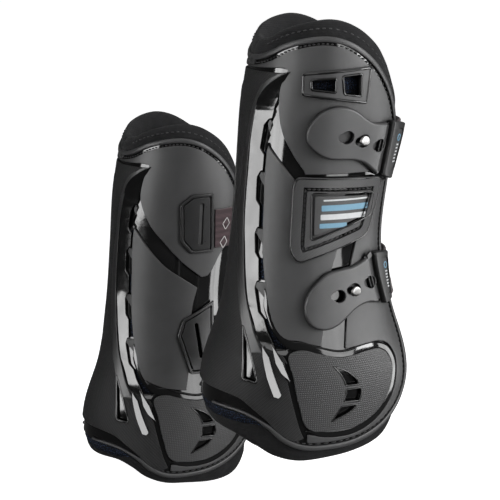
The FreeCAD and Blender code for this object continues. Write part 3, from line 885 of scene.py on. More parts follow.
# seen from the side again, as (x, z)
HEEL_FRONT = [(-24.5, 69), (-23.5, 58), (-20.5, 43), (-16.5, 28), (-14, 22)]
HEEL_FOOT = [(-14, 22), (-20, 20.5), (-28, 25.5), (-34, 32), (-42, 39.5), (-48, 44.5), (-55, 46.5), (-62, 47)]
BEAD = [(-32.5, 108), (-31, 95), (-27, 84), (-20.5, 77), (-14, 76), (-5, 73), (8, 70), (25, 72),
        (32.5, 72), (38.3, 69), (42.9, 61.5), (43.3, 53), (40, 41.3), (31.8, 31.5), (17.5, 24.6),
        (1, 23.6), (-13, 26.5)]
BORDER = [(-12, 24.3), (1, 21.6), (18, 22.5), (33, 29.5), (42, 40), (45.4, 53), (44.8, 62.8),
          (39.8, 71.2), (33, 74.4), (25, 74.4), (11, 73)]
# (height, degrees)
FINGER_REAR = [(76, 51.5), (70, 57.4), (60, 62.2), (48.5, 67.8), (46.6, 66.5), (47.4, 63.4), (58, 58.2),
               (70, 53.2)]
FINGER_FRONT = [(77, 57.8), (73.6, 61), (67, 66.4), (56.5, 71.8), (60.6, 66.4), (66.3, 62.2)]
FINGER_TURN, FINGER_TILT = 41, 0.21  # degrees from the rear that a finger faces, and its upward share
FINGER_TOP, FINGER_FLOOR = 3.0, 1.1
# (across, height)
BEAD_SECTION = [(-2.8, -0.2), (-2.7, 0.5), (-2.4, 1.05), (-2.0, 1.25), (-1.0, 1.3), (1.0, 1.3), (1.9, 1.25),
                (2.3, 1.05), (2.5, 0.5), (2.6, -0.2)]
RIM_WIDTH = 3.2  # of the edge strip
SEAM = 4.1  # stitched groove, from the edge
PANEL_EDGE = 4.8  # where the panels start, from the edge
HOLE_WIDE, HOLE_NARROW, HOLE_PITCH = 3.6, 2.4, 2.4  # a keyhole's two radii and how far apart they are


def round_line(table, side=1):
    """A smooth (phi, z) line through (height, degrees) places."""
    return smooth(np.array(table, float)[:, ::-1] * TO_FLAT) / TO_FLAT * [side, 1]


def domain_loop(*parts, step=1.0):
    """A closed (phi, z) outline from runs of points."""
    line = np.vstack(parts) * TO_FLAT
    keep = np.linalg.norm(line - np.roll(line, 1, axis=0), axis=1) > 0.15
    return resample(line[keep], step, closed=True) / TO_FLAT


def at_height(table, z):
    """Degrees round from the rear at height z, along (height, degrees) places."""
    rows = sorted(table)
    return np.interp(z, [r[0] for r in rows], [r[1] for r in rows])


# ==== the boot's pieces ===============================================================================
def bridged(a, b, count):
    """Points on the straight line between two (phi, z) points, without its ends."""
    return np.linspace(a, b, count)[1:-1]


def edge_loop(distance=0.0):
    """The shell's outline round both sides, in (phi, z), moved inwards."""
    half = inset_run(smooth(EDGE), distance) if distance else smooth(EDGE)
    outer = up(half, 1)
    inner = up(half, -1)[::-1]
    return domain_loop(outer, bridged(outer[-1], inner[0], 12), inner, bridged(inner[-1], outer[0], 60))


def triangle_loop(side):
    """Outline of the three-cornered hole in the guard."""
    return up(rounded(TRIANGLE, 1.2), side)


def vent_loops(side):
    """Outlines of the four vents beside the ridge, and of the triangle."""
    loops = []
    for low, high in VENT_HEIGHTS:
        z = np.linspace(low + 0.5, high - 0.5, 12)
        rear, front = at_height(RIDGE_FRONT, z) - 2, at_height(SIDE_REAR, np.maximum(z, 80)) + 1.5
        if low < 100:  # the lowest one leans forward
            rear, front = rear + 2, front + np.clip(84 - z, 0, 9) * 0.3
        loop = np.vstack([np.stack([rear, z], 1), np.stack([front, z], 1)[::-1]])
        loops.append(evened(loop, 1.0, closed=True) * [side, 1])
    return loops + [triangle_loop(side)]


def crescent_loops(side):
    """Outlines of the three openings in the fetlock panel."""
    outer, inner = smooth(CRESCENT_OUTER, 0.8), smooth(CRESCENT_INNER, 0.8)
    loops = []
    cuts = (20,) + CRESCENT_BARS + (80,)
    for low, high in zip(cuts, cuts[1:]):
        low, high = low + 0.8, high - 0.8
        right = outer[(outer[:, 1] > low) & (outer[:, 1] < high)]
        left = inner[(inner[:, 1] > low) & (inner[:, 1] < high)]
        loops.append(up(resample(np.vstack([right, left]), 0.8, closed=True), side))
    return loops


def window_loops():
    """Outlines of the two vents near the top."""
    return [up(rounded(WINDOW_REAR, 1)), up(rounded(WINDOW_FRONT, 1))]


WALL = ((0.0, -0.3), (0.3, 0.0))
SMALL_EDGE = ((0.0, -0.2), (0.2, 0.0))
FRAME_EDGE = ((0.0, -0.9), (0.15, -0.35), (0.45, 0.0))


def ease(t):
    """0 to 1 with a soft start and end."""
    t = np.clip(t, 0, 1)
    return t * t * (3 - 2 * t)


CHANNEL = 2.3  # deepest place of the sunk channel that the ridge and the vents lie in
RIDGE_FLOOR = -CHANNEL - 0.15


def channel(phi, z):
    """How far the shell is sunk beside the guard; its floor rises towards the side panel."""
    phi = np.abs(phi)
    rear, crest = at_height(RIDGE_REAR, z), at_height(RIDGE_FRONT, z)
    front = np.where(z > 190, crest + 1.5, at_height(SIDE_REAR, z))
    cut = crest - 5
    climb = np.interp(z, (120, 150), (0.3, 0.9))
    floor = CHANNEL - climb * np.clip((phi - cut) / np.maximum(front - cut, 1), 0, 1)
    across = ease((phi - rear - 1) / 4) * ease((front + 0.3 - phi) / 2)
    return -floor * across * ease((z - 71) / 8) * ease((226 - z) / 6)


def shell():
    """Outer wrap of both sides with all its openings."""
    holes = vent_loops(1) + vent_loops(-1) + crescent_loops(1) + crescent_loops(-1) + window_loops()
    return patch(edge_loop(), 0.0, MESH_TOP, holes, rings=WALL, spacing=2.2, shape=channel)


def guard():
    """Strike guard down the rear."""
    outer = np.vstack([round_line(GUARD_EDGE), up(smooth(HEEL_FRONT)), up(smooth(HEEL_FOOT))])
    inner = (outer * [-1, 1])[::-1]
    top = bridged((inner[-1, 0], 230.0), (outer[0, 0], 230.0), 90)
    holes = [triangle_loop(side) for side in (1, -1)]
    return panel(domain_loop(outer, inner, top), holes, PANEL + 0.2)


def panel(outline, holes=(), top=PANEL):
    """A moulded panel on the shell."""
    return patch(outline, top, PANEL_FLOOR, holes)


def guard_border(side):
    """Smooth strip between the guard's weave and the ridge."""
    rear, front = round_line(TWILL_EDGE), round_line(RIDGE_REAR)
    front = front[front[:, 1] > 71] + [1.5, 0]
    loop = domain_loop(rear, front[::-1]) * [side, 1]
    return patch(loop, PANEL + 0.55, PANEL, rings=((0.0, -0.3), (0.15, -0.08), (0.4, 0.0)))


RIDGE_BEND = 44  # radius of the shell under the ridge


def ridge_height(phi, z):
    """A flat face that leans, its front edge rising towards the brow."""
    phi = np.abs(phi)
    m = metric(phi, z)
    crest = at_height(RIDGE_FRONT, z)
    across, width = (crest - phi) * m, (crest - at_height(RIDGE_REAR, z)) * m
    front = np.interp(z, (70, 80, 94, 202, 209, 216, 223, 231), (0.4, -0.4, -0.9, -0.9, -0.6, 0.1, 1.0, 2.2))
    lean = np.interp(z, (70, 84, 96), (-0.02, 0.04, 0.19))
    return front + lean * across - np.clip(across * (width - across), 0, 400) / (2 * RIDGE_BEND)


def ridge(side):
    """Glossy ridge beside the guard, its front edge notched between the vents."""
    front = RIDGE_FRONT[:5]  # above the notches
    for high, low, depth in NOTCHES:
        at = [at_height(RIDGE_FRONT, z) for z in (high, high - 0.4, high - 4, low + 3.4, low)]
        front += [(high, at[0]), (high - 0.4, at[1] - 0.45 * depth), (high - 4, at[2] - depth),
                  (low + 3.4, at[3] - 0.85 * depth), (low, at[4])]
    front += RIDGE_FRONT[-4:]
    front = evened(np.array(front)[:, ::-1], 0.6)
    loop = domain_loop(front, round_line(RIDGE_REAR)[::-1], step=0.6) * [side, 1]
    rings = ((0.0, -0.9), (0.15, -0.4), (0.35, -0.1), (0.6, 0.0))
    return patch(loop, 0.0, RIDGE_FLOOR, rings=rings, spacing=1.8, shape=ridge_height)


def notch_ramps(side):
    """Facets that lead from the ridge down into each notch."""
    mesh = Mesh()
    for high, _, depth in NOTCHES:
        rear, front = at_height(RIDGE_FRONT, high) - 0.5 * depth, at_height(SIDE_REAR, high - 2) - 0.3
        corners = [(rear - 1.5, high - 3.2), (rear + 0.6, high - 0.6), (front - 1.2, high - 0.6),
                   (front, high - 2), (front - 1.0, high - 9.5)]
        loop = evened(corners, 0.8, closed=True) * [side, 1]
        mesh.join(patch(loop, 0.0, RIDGE_FLOOR, rings=SMALL_EDGE, spacing=1.5,
                        shape=lambda p, z, top=high: 0.1 * (z - top + 9) - 1.5))
    return mesh


def fingers(side):
    """Two polished facets; each is flat and turned a little to the rear."""
    mesh = Mesh()
    turn = math.radians(FINGER_TURN)
    flat = np.array([-math.cos(turn), -side * math.sin(turn), FINGER_TILT])
    rings = ((0.0, -0.25), (0.1, -0.05), (0.25, 0.0))
    for table in (FINGER_REAR, FINGER_FRONT):
        loop = evened(np.array(table)[:, ::-1], 0.7, closed=True) * [side, 1]
        mesh.join(patch(loop, FINGER_TOP, FINGER_FLOOR, rings=rings, spacing=1.0, flat=flat))
    return mesh


def bead(side):
    """Flat-topped strip round the heel and the fetlock panel."""
    path = up(smooth(BEAD), side)
    s = np.linspace(0, 1, len(path))
    taper = np.clip(np.minimum(s, 1 - s) / 0.05, 0.15, 1)
    return ribbon(path, BEAD_SECTION, scale=narrowed(path, taper))


def rim_path(side, distance):
    """Line along the edge of one side, from the middle of the rear round to the heel."""
    half = up(inset_run(smooth(EDGE), distance), side)
    head = 236 - distance
    bridge = round_line([(head, 0.4), (head, 10), (half[0, 1], abs(half[0, 0]))], side)[:-1]
    return evened(np.vstack([bridge, half[:-2]]), 1.0)


def rim(side):
    """Raised strip along the edge, slimmer under the fetlock panel."""
    path = rim_path(side, RIM_WIDTH / 2)
    slim = np.where((path[:, 1] < 60) & (np.abs(path[:, 0]) < 62), 0.5, 1.0)
    slim = softened(slim, 6)
    half = RIM_WIDTH / 2
    profile = [(-half, -0.2), (-half, 0.9), (-half + 0.2, 1.25), (-half + 0.6, 1.45), (half - 0.6, 1.45),
               (half - 0.2, 1.25), (half, 0.9), (half, -0.2)]
    if side > 0:
        profile = profile[::-1]
    return ribbon(path, profile, scale=narrowed(path, slim))


def rim_seam(side):
    """Stitching beside the edge strip, left out round the heel."""
    path = rim_path(side, SEAM)
    path = path[(path[:, 1] > 60) | (np.abs(path[:, 0]) > 62)]
    return stitches(path, 0.75, 2.2, 1.0, 0.8)


def field():
    """The edge of the panels on one side."""
    return inset_run(smooth(EDGE), PANEL_EDGE)


def upper_part(foot):
    """The panels' edge from the brow down to a height."""
    line = field()
    line = line[(line[:, 1] > foot) & (line[:, 0] > -33)]
    front = line[:, 0] > 25
    stop = int(np.argmin(np.where(front, line[:, 1], 999)))
    return line[:stop + 1]


def upper_panel():
    """Outline of the outer side's upper panel."""
    line = upper_part(174)
    rear = smooth([(-12, 174.5)] + UPPER_REAR[::-1])
    brow = smooth(BROW)[1:]
    return domain_loop(up(line), up(np.array([(line[-1][0], 174), (-12, 174)])), up(rear), up(brow))


def side_panel_rear():
    """Outline of the outer side's panel behind the gap."""
    return domain_loop(*[round_line(table) for table in (SIDE_HEAD, SIDE_REAR, SIDE_FOOT, GAP_REAR)])


def side_panel_front():
    """Outline of the outer side's panel along the front edge and round the fetlock."""
    line = field()
    line = line[(line[:, 1] < 168) & (line[:, 0] > -13) & (np.arange(len(line)) > 40)]
    return domain_loop(up(line), up(smooth(BORDER)), round_line(GAP_FRONT))


def inner_border():
    """Outline of the strip below the inner fetlock panel."""
    line = field()
    line = line[(line[:, 1] < 77) & (line[:, 0] > -13)]
    border = smooth(BORDER)
    return domain_loop(up(line, -1), up(border, -1), up(np.array([(12, 78), (30, 79)]), -1))


def inner_upper():
    """Outline of the inner side's upper panel."""
    line = upper_part(183)
    front = smooth([line[-1], (28, 170), (18, 155), (13, 154)], 1.0)
    rear = smooth(INNER_UPPER_REAR[::-1])
    brow = smooth(BROW)[1:]
    return domain_loop(up(line, -1), up(front, -1), up(rear, -1), up(brow, -1))


def inner_side():
    """Outline of the inner side's lower panel."""
    rear = round_line(SIDE_REAR[:-1], side=-1)
    low = up(smooth([(-27, 84), (-16, 79), (0, 76)], 1.0), -1)
    front = up(smooth([(0, 76), (4, 100), (6, 132), (10, 147)], 1.0), -1)
    head = up(smooth(INNER_LOWER_HEAD), -1)
    return domain_loop(rear, low, front, head)


def circle_cut(pitch, wide, narrow):
    """Outline of a keyhole whose narrow end points to the rear."""
    meet = (pitch**2 + wide**2 - narrow**2) / (2 * pitch)
    a, b = math.acos(meet / wide), math.acos((pitch - meet) / narrow)
    ahead = [(wide * math.cos(t), wide * math.sin(t)) for t in np.linspace(-math.pi + a, math.pi - a, 26)]
    turns = np.linspace(b, 2 * math.pi - b, 16)[1:-1]
    behind = [(narrow * math.cos(t) - pitch, narrow * math.sin(t)) for t in turns]
    return np.array(ahead + behind)


def keyholes(which):
    """Outlines of a tab's three keyholes."""
    loops = []
    points = circle_cut(HOLE_PITCH, HOLE_WIDE, HOLE_NARROW)
    for x, z in STRAPS[which]["holes"]:
        phi = float(phi_at(x, z))
        m = degree_at(phi, z)
        loops.append(np.stack([phi + points[:, 0] / m, z + points[:, 1]], 1))
    return loops


def front_phi(y, z, h):
    """Angle on the outer side, ahead of its widest place, where the surface grown by h has this y."""
    low, high = np.full(np.shape(z), 95.0), np.full(np.shape(z), 180.0)
    for _ in range(30):
        middle = (low + high) / 2
        behind = lay(middle, np.asarray(z, float), np.full(np.shape(z), float(h)))[..., 1] < y
        low, high = np.where(behind, middle, low), np.where(behind, high, middle)
    return low


def strap_tab(which):
    """Tab of a strap, from its neck to its rear end."""
    strap = STRAPS[which]
    high, low = strap["ends"]
    z = np.linspace(low, high, 24)
    neck = np.stack([front_phi(BLOCK_REAR - HINGE_GAP, z, TAB_TOP - 1), z], 1)
    outline = domain_loop(up(smooth(strap["tab"])), neck, step=0.9)
    rings = ((0.0, -1.9), (0.1, -1.1), (0.4, -0.45), (0.9, -0.1), (1.5, 0.0))
    hole_rings = ((0.0, -0.35), (0.12, -0.1), (0.35, 0.0))
    return patch(outline, TAB_TOP, TAB_LOW, keyholes(which), rings, 2.0, 4.0, hole_rings=hole_rings)


def neck_web(which):
    """Thin web in the groove that a tab folds at."""
    high, low = STRAPS[which]["ends"]
    z = np.linspace(low + 1.5, high - 1.5, 20)
    rear = np.stack([front_phi(BLOCK_REAR - HINGE_GAP - 0.8, z, WEB_MIDDLE), z], 1)
    front = np.stack([front_phi(BLOCK_REAR + 0.9, z, WEB_MIDDLE), z], 1)
    return patch(domain_loop(rear, front[::-1], step=0.8), WEB_TOP, WEB_FLOOR, rings=WALL, spacing=1.2)


def block_outline(corners, h):
    """(phi, z) outline of a block's (y, z) corners at height h."""
    loop = rounded(corners, 1.2, 0.6)
    return np.stack([front_phi(*loop.T, h), loop[:, 1]], 1)


def strap_block(which):
    """Block that the tab's neck grows from, with a slot for the inlay."""
    rings = ((0.0, -1.3), (0.15, -0.6), (0.4, -0.15), (0.8, 0.0))
    slot = block_outline(STRAPS[which]["slot"], 6.0)
    return patch(block_outline(STRAPS[which]["block"], 4.0), BLOCK_TOP, BLOCK_FLOOR, [slot], rings, 1.5, 3.0,
                 hole_rings=WALL)


def block_inlay(which):
    """Inlay in a block's slot."""
    slot = block_outline(STRAPS[which]["slot"], 6.0)
    return patch(slot, INLAY_TOP, INLAY_FLOOR, rings=SMALL_EDGE, spacing=1.5, back=3.0)


RING_SHARE = 0.22  # how far down the slot the ring lies
DASH_SHARES = [0.40 + 0.085 * k for k in range(6)]


def block_marks(which, kind):
    """A small ring and a row of dashes on a block's inlay."""
    slot = np.array(STRAPS[which]["slot"])
    head, foot = slot[1:3].mean(0), slot[[0, 3]].mean(0)
    mesh = Mesh()
    for share in (RING_SHARE,) if kind == "ring" else DASH_SHARES:
        y, z = head + (foot - head) * share
        phi = float(front_phi(np.array([y]), np.array([z]), INLAY_TOP)[0])
        m = 1.0 / degree_at(130.0, z)
        if kind == "ring":
            t = np.linspace(0, 2 * math.pi, 25)[:-1]
            ring = np.stack([phi + 1.5 * m * np.cos(t), z + 1.7 * np.sin(t)], 1)[::-1]
            mesh.join(ribbon(ring, half_round(0.8, 0.16, -0.1), closed=True, lift=INLAY_TOP))
        else:
            dash = np.stack([phi + np.linspace(-1.2, 1.2, 5) * m, np.full(5, z)], 1)
            mesh.join(ribbon(dash, half_round(1.0, 0.14, -0.1), lift=INLAY_TOP))
    return mesh


def elastic(which):
    """Elastic web from the anchor round the front to the block."""
    low, high = ELASTIC_HEIGHTS[which]
    z = np.linspace(low, high, 20)
    start = np.stack([360 - phi_at(np.full(20, ELASTIC_START + 0.3), z), z], 1)
    end = np.stack([front_phi(BLOCK_REAR + 1, z, 3), z], 1)
    loop = domain_loop(end, bridged(end[-1], start[-1], 80), start[::-1], bridged(start[0], end[0], 80))
    rings = ((0.0, -0.4), (0.15, -0.12), (0.5, 0.0))
    return patch(loop, ELASTIC_TOP, 1.7, rings=rings, spacing=2.5, back=4.0)


def lozenges(which):
    """Woven outline motifs down the elastic."""
    low, high = ELASTIC_HEIGHTS[which]
    mesh = Mesh()
    middle = (low + high) / 2
    for k in range(9):
        phi = 238 - 12.5 * k
        for z in ((middle + 9, middle - 4) if k % 2 else (middle + 3, middle - 10)):
            m = degree_at(phi, z)
            corners = [(phi - 3.0 / m, z), (phi, z - 4.2), (phi + 3.0 / m, z), (phi, z + 4.2)]
            loop = resample(np.array(corners) * [m, 1], 0.8, closed=True) / [m, 1]
            mesh.join(ribbon(loop, half_round(0.55, 0.14, -0.1), closed=True, lift=ELASTIC_TOP))
    return mesh


def anchor_frame(which):
    """Anchor of an elastic: a raised border round a plate with a slot."""
    outline = rounded(ANCHORS[which]["frame"], 1.5, 0.8)
    outline = facing(up(resample(outline[outline[:, 0] <= ELASTIC_START], 0.8, closed=True), -1))
    slot = up(rounded(ANCHORS[which]["slot"], 1.0, 0.6), -1)
    mesh = patch(outline, FRAME, PANEL - 0.2, [pruned(outline, 1.9, 0.8)],
                 rings=((0.0, -0.6), (0.2, -0.15), (0.45, 0.0)), spacing=2.0)
    return mesh.join(patch(pruned(outline, 2.5, 0.8), FRAME - 0.5, PANEL - 0.2, [slot],
                           rings=((0.0, -0.5), (0.15, -0.15), (0.4, 0.0)), spacing=2.0))


def both_sides(edge, outward, limit=360):
    """An edge run taken across the rear from the outer side to the inner, as far as a limit in degrees.
    outward is 1 for the top edge, -1 for the bottom one."""
    half = smooth(edge, 1.5)
    outer, inner = (up(half, 1)[::-1], up(half, -1)) if outward > 0 else (up(half, 1), up(half, -1)[::-1])
    path = np.vstack([outer, bridged(outer[-1], inner[0], 40), inner])
    return evened(path[np.abs(path[:, 0]) < limit], 1.5)


def roll(edge, rise, behind, lift, thick, outward, share):
    """Padded roll along an edge run, tapering to its ends; rise gives its reach over the edge."""
    path = both_sides(edge, outward)
    s = np.linspace(-1, 1, len(path))
    taper = np.clip((1 - np.abs(s)) / share, 0.05, 1) ** 0.6
    reach = softened(rise(path[:, 0]), 8) * taper
    mesh = Mesh()
    rows = []
    for t in np.linspace(0, 2 * math.pi, 29)[:-1]:
        across, height = -math.cos(t), math.sin(t)
        a = np.where(across > 0, across * reach, across * behind)
        moved = shifted(path, -a * outward, closed=False)
        puff = 1 + 0.05 * np.sin(s * 37) * np.sin(s * 23)
        rows.append(mesh.on_surface(*moved.T, lift + height * thick * puff))
    for low, high in zip(rows, rows[1:] + rows[:1]):
        mesh.quads(*((low, high) if outward > 0 else (high, low)))
    ends = (rows[::-1], rows) if outward > 0 else (rows, rows[::-1])
    mesh.f.append(tuple(int(row[0]) for row in ends[0]))
    mesh.f.append(tuple(int(row[-1]) for row in ends[1]))
    return mesh


# reach of the rolls over the shell's edge, as (degrees from the rear), (millimetres)
RISE = ((0, 45, 62, 80, 100, 118, 135, 150), (9.5, 9.3, 7.6, 9.3, 9.8, 12, 14, 13))
HANG = ((-150, -138, -126, -107, -90, -70, -55, -36, 0, 36, 54, 72, 90, 108, 122, 136, 150),
        (21, 21, 18, 9.5, 5.5, 7.5, 9.5, 10.5, 12.5, 14.5, 17.5, 12, 7.5, 7, 9, 14, 18))


def top_roll():
    """Cushion along the top edge."""
    return roll(EDGE_TOP, lambda phi: np.interp(np.abs(phi), *RISE), 7.0, -5.0, 4.9, 1, 0.08)


def bottom_roll():
    """Cushion along the bottom edge, hanging further on the inner side."""
    return roll(EDGE_BOTTOM, lambda phi: np.interp(phi, *HANG), 6.0, -5.8, 3.9, -1, 0.05)


def cushion_seam():
    """Stitching along the top roll, a little above the shell's edge."""
    mesh = Mesh()
    for side in (1, -1):
        path = up(smooth(EDGE_TOP, 1.5)[6:-12], side)
        mesh.join(stitches(shifted(path, 4.2 * side, closed=False), -0.55, 2.6, 1.4, 0.7))
    return mesh


def lining_band(edge, reach, outward, limit):
    """Navy lining that shows between the edge strip and a roll, round the rear."""
    path = both_sides(edge, outward, limit)
    s = np.linspace(-1, 1, len(path))
    taper = np.clip((1 - np.abs(s)) / 0.3, 0.1, 1)
    profile = [(-2.5, -1.4), (0.0, -0.7), (reach * 0.5, -1.2), (reach, -2.6), (reach, -3.6), (-2.5, -2.4)]
    profile = [(-a * outward, h) for a, h in profile]
    if outward < 0:
        profile = profile[::-1]
    return ribbon(path, profile, scale=narrowed(path, taper))


def disc(x, z, h, radius, thick, dome=0.0, bore=0.0, stretch=0.0):
    """A turned button square to the surface: centre at height h, with a point to the rear if stretched."""
    phi = float(phi_at(x, z))
    base = surface(np.array([phi]), np.array([float(z)]))[0]
    n = normals(np.array([phi]), np.array([float(z)]))[0]
    n = np.array([n[0], n[1], 0])
    n /= np.linalg.norm(n)
    e1 = np.cross([0, 0, 1], n)
    e2 = np.cross(n, e1)
    mesh = Mesh()
    rows = []
    inner = max(bore, 0.05)
    outline = [(inner, 0.0), (radius * 0.9, 0.0), (radius, 0.15), (radius, thick * 0.7),
               (radius * 0.93, thick * 0.9), (radius * 0.78, thick),
               ((radius + inner) / 2, thick + dome * 0.7), (inner, thick + dome)]
    a = np.linspace(0, 2 * math.pi, 37)[:-1]
    grow = 1 + stretch * np.clip(-np.cos(a), 0, 1) ** 6
    for r, rise in outline:
        spoke = np.cos(a)[:, None] * e1 + np.sin(a)[:, None] * e2
        points = base + n * (h + rise) + r * grow[:, None] * spoke
        rows.append(mesh.add(points, np.stack([r * np.cos(a), r * np.sin(a)], 1)))
    for low, high in zip(rows, rows[1:]):
        mesh.quads(low, high, closed=True)
    if bore:
        mesh.quads(rows[-1], rows[0], closed=True)
    else:
        mesh.f.append(tuple(int(i) for i in rows[-1]))
        mesh.f.append(tuple(int(i) for i in reversed(rows[0])))
    return mesh


def lip(loop, width=0.9, height=0.45, lift=FRAME):
    """Fine raised line along a closed (phi, z) loop."""
    return ribbon(facing(loop), half_round(width, height, -0.25, 7), closed=True, lift=lift)


def badge_bar(low, high, rear, front):
    """A printed bar on the badge."""
    corners = [(rear, low), (rear, high), (front, high), (front, low)]
    return patch(up(rounded(corners, 0.4, 0.5)), PAD + 0.15, PAD - 0.2, rings=((0.0, -0.1), (0.1, 0.0)))


def make(name, mesh, look, nodes=(), body="boot"):
    """A piece on both boots, in one of the materials."""
    return pair(name, mesh, MATERIALS[look], nodes, body)


make("shell_wrap", shell(), "gloss", ["outer_shell"])
thin_edge = ((0.0, -0.05), (0.1, 0.0))
air_mesh = patch(edge_loop(1.0), MESH_TOP, LINER_TOP, rings=thin_edge, spacing=4.0, back=8.0)
make("vent_mesh", air_mesh, "mesh", ["air_mesh"])
liner = patch(edge_loop(1.5), LINER_TOP, LINER_FLOOR, rings=WALL, spacing=6.0, back=4.0)
make("liner_pad", liner, "liner", ["liner"])
make("strike_guard", guard(), "guard", ["tendon_guard"])
for sign, word in ((1, "lateral"), (-1, "medial")):
    openings = crescent_loops(sign)
    make(word + "_edge_strip", rim(sign), "matte", [word + "_binding"])
    make(word + "_edge_seam", rim_seam(sign), "thread")
    make(word + "_ridge", ridge(sign), "gloss")
    make(word + "_notch_ramps", notch_ramps(sign), "tab")
    make(word + "_fingers", fingers(sign), "gloss")
    make(word + "_heel_bead", bead(sign), "gloss")
    make(word + "_guard_border", guard_border(sign), "dark")
    lips = Mesh()
    for loop in openings:
        lips.join(lip(loop, 0.8, 0.4, PANEL))
    lips.join(lip(triangle_loop(sign), 1.3, 0.6, PANEL + 0.2))
    make(word + "_vent_lips", lips, "gloss")
    # painted shade: dark glossy sheets fill the fetlock openings and the triangle over the navy lining,
    # standing in for the shade on the lining there; their gloss and slant still catch reflections
    shade_sheets = Mesh()
    for loop in openings + [triangle_loop(sign)]:
        shade_sheets.join(patch(shifted(facing(loop), -0.5), -0.4, -1.0, spacing=1.5,
                         shape=lambda p, z, low=loop[:, 1].min(): 0.05 * (z - low) - 0.3))
    make(word + "_crescent_wells", shade_sheets, "gloss")
    fetlock_face = panel(up(smooth(FETLOCK, 1.0, closed=True), sign), openings)
    make(word + "_fetlock_face", fetlock_face, "grid", [word + "_fetlock_panel"])
make("outer_upper_face", panel(upper_panel(), window_loops()), "matte", ["lateral_upper_panel"])
side_faces = panel(side_panel_rear()).join(panel(side_panel_front()))
make("outer_side_faces", side_faces, "matte", ["lateral_side_panel"])
make("inner_upper_face", panel(inner_upper()), "matte", ["medial_upper_panel"])
make("inner_side_face", panel(inner_side()), "matte", ["medial_side_panel"])
make("inner_border", panel(inner_border()), "matte")

vent_surround = patch(up(rounded(VENT_FRAME, 1.5)), FRAME, FRAME_FLOOR, window_loops(),
                      rings=((0.0, -0.9), (0.3, -0.3), (0.8, 0.0)))
make("vent_surround", vent_surround, "matte", ["vent_frame"])
window_lips = lip(up(rounded([(-12.6, 230), (23.1, 233), (21.2, 213.9), (-13.1, 218.8)], 1.2)), 1.3, 0.55)
for loop in window_loops():
    window_lips.join(lip(loop, 1.2, 0.5))
make("window_lips", window_lips, "gloss")

badge_edge = facing(up(rounded(BADGE, 5)))
badge_hole = up(rounded(BADGE_BODY, 1.5))
surround = patch(badge_edge, FRAME, FRAME_FLOOR, [pruned(badge_edge, 5.9, 1.0)], rings=FRAME_EDGE)
surround.join(patch(pruned(badge_edge, 7.6, 1.0), FRAME, FRAME_FLOOR, [badge_hole],
                    rings=FRAME_EDGE, spacing=2.0))
make("badge_surround", surround, "frame", ["badge_frame"])
badge_seam = stitches(pruned(badge_edge, 6.75, 1.0), FRAME - 1.0, 2.0, 0.9, 1.0, closed=True)
make("badge_stitching", badge_seam, "thread")
badge_lips = lip(pruned(badge_edge, 0.8, 1.0), 0.7, 0.3)
badge_lips.join(lip(shifted(facing(badge_hole), -0.5), 0.7, 0.25))
make("badge_lips", badge_lips, "gloss")
plate_corners = [(-6.8, 162.3), (26.8, 160.9), (25.4, 150.2), (-7.3, 138.9)]
plate = patch(up(rounded(plate_corners, 1.2)), PAD, FRAME_FLOOR)
make("badge_field", plate, "plate", ["badge_plate"])
make("badge_rule", badge_bar(158.9, 159.9, -2, 25), "white")
bars = ((153.2, 156.6, -3, 25, "blue"), (148.2, 151.4, -3.5, 23.8, "white"), (143.4, 146.2, -4, 12, "blue"))
for k, (*sizes, look) in enumerate(bars):
    make("badge_bar_%d" % (k + 1), badge_bar(*sizes), look)

washers = Mesh()
for which in STRAPS:
    make(which + "_tongue", strap_tab(which), "tab", [which + "_tab"], which + "_strap")
    make(which + "_keeper", strap_block(which), "block", [which + "_block"])
    webs = make(which + "_neck_web", neck_web(which), "tab", body=None)
    z = np.array([sum(STRAPS[which]["ends"]) / 2])
    for side, web in zip(SIDES, webs):
        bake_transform(web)
    make(which + "_web", elastic(which), "elastic", [which + "_elastic"])
    make(which + "_motifs", lozenges(which), "motif")
    make(which + "_anchor_plate", anchor_frame(which), "anchor", [which + "_anchor"])
    x, z = STRAPS[which]["holes"][1]
    head = disc(x, z, 5.3, 2.9, 1.6, dome=0.1, stretch=0.2)
    head.join(disc(x, z, 1.0, 1.8, 4.4))
    make(which + "_button", head, "metal", [which + "_stud"])
    washers.join(disc(x, z, LINER_TOP, 4.0, 0.8, bore=1.9))
    make(which + "_mark_ring", block_marks(which, "ring"), "blue")
    make(which + "_mark_dashes", block_marks(which, "dashes"), "white")
make("inlays", block_inlay("upper").join(block_inlay("lower")), "matte", ["block_inlays"])
make("washers", washers, "metal", ["stud_washers"])
make("cushion_seam", cushion_seam(), "thread")
make("top_lining", lining_band(EDGE_TOP, 6.5, 1, 62), "mesh")
make("heel_lining", lining_band(EDGE_BOTTOM, 7.0, -1, 62), "mesh")
for ob in make("top_cushion", top_roll(), "roll", ["top_roll"]):
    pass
for ob in make("bottom_cushion", bottom_roll(), "roll", ["bottom_roll"]):
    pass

# ==== camera, floor and light =========================================================================
TARGET = Vector((0, 0, 0.130))  # on the right boot's axis
AZIMUTH, PITCH = math.radians(14.6), math.radians(12.4)
DISTANCE = 0.830
LENS, SENSOR = 100.8, 36  # millimetres
FLOOR_REACH, FLOOR_GAP = 60.0, 0.004
OFF_RIGHT, OFF_DOWN = 0.0326, -0.0077  # where the target lies from the picture's middle

level = math.cos(PITCH)
forward = Vector((math.sin(AZIMUTH) * level, math.cos(AZIMUTH) * level, -math.sin(PITCH)))
right = Vector((math.cos(AZIMUTH), -math.sin(AZIMUTH), 0))
above = right.cross(forward)
camera_data = bpy.data.cameras.new("camera")
camera_data.lens = LENS
camera_data.sensor_width = SENSOR
camera = bpy.data.objects.new("camera", camera_data)
camera.location = TARGET - forward * DISTANCE - right * OFF_RIGHT + above * OFF_DOWN
camera.rotation_euler = (-forward).to_track_quat("Z", "Y").to_euler()
bpy.context.scene.collection.objects.link(camera)
bpy.context.scene.camera = camera

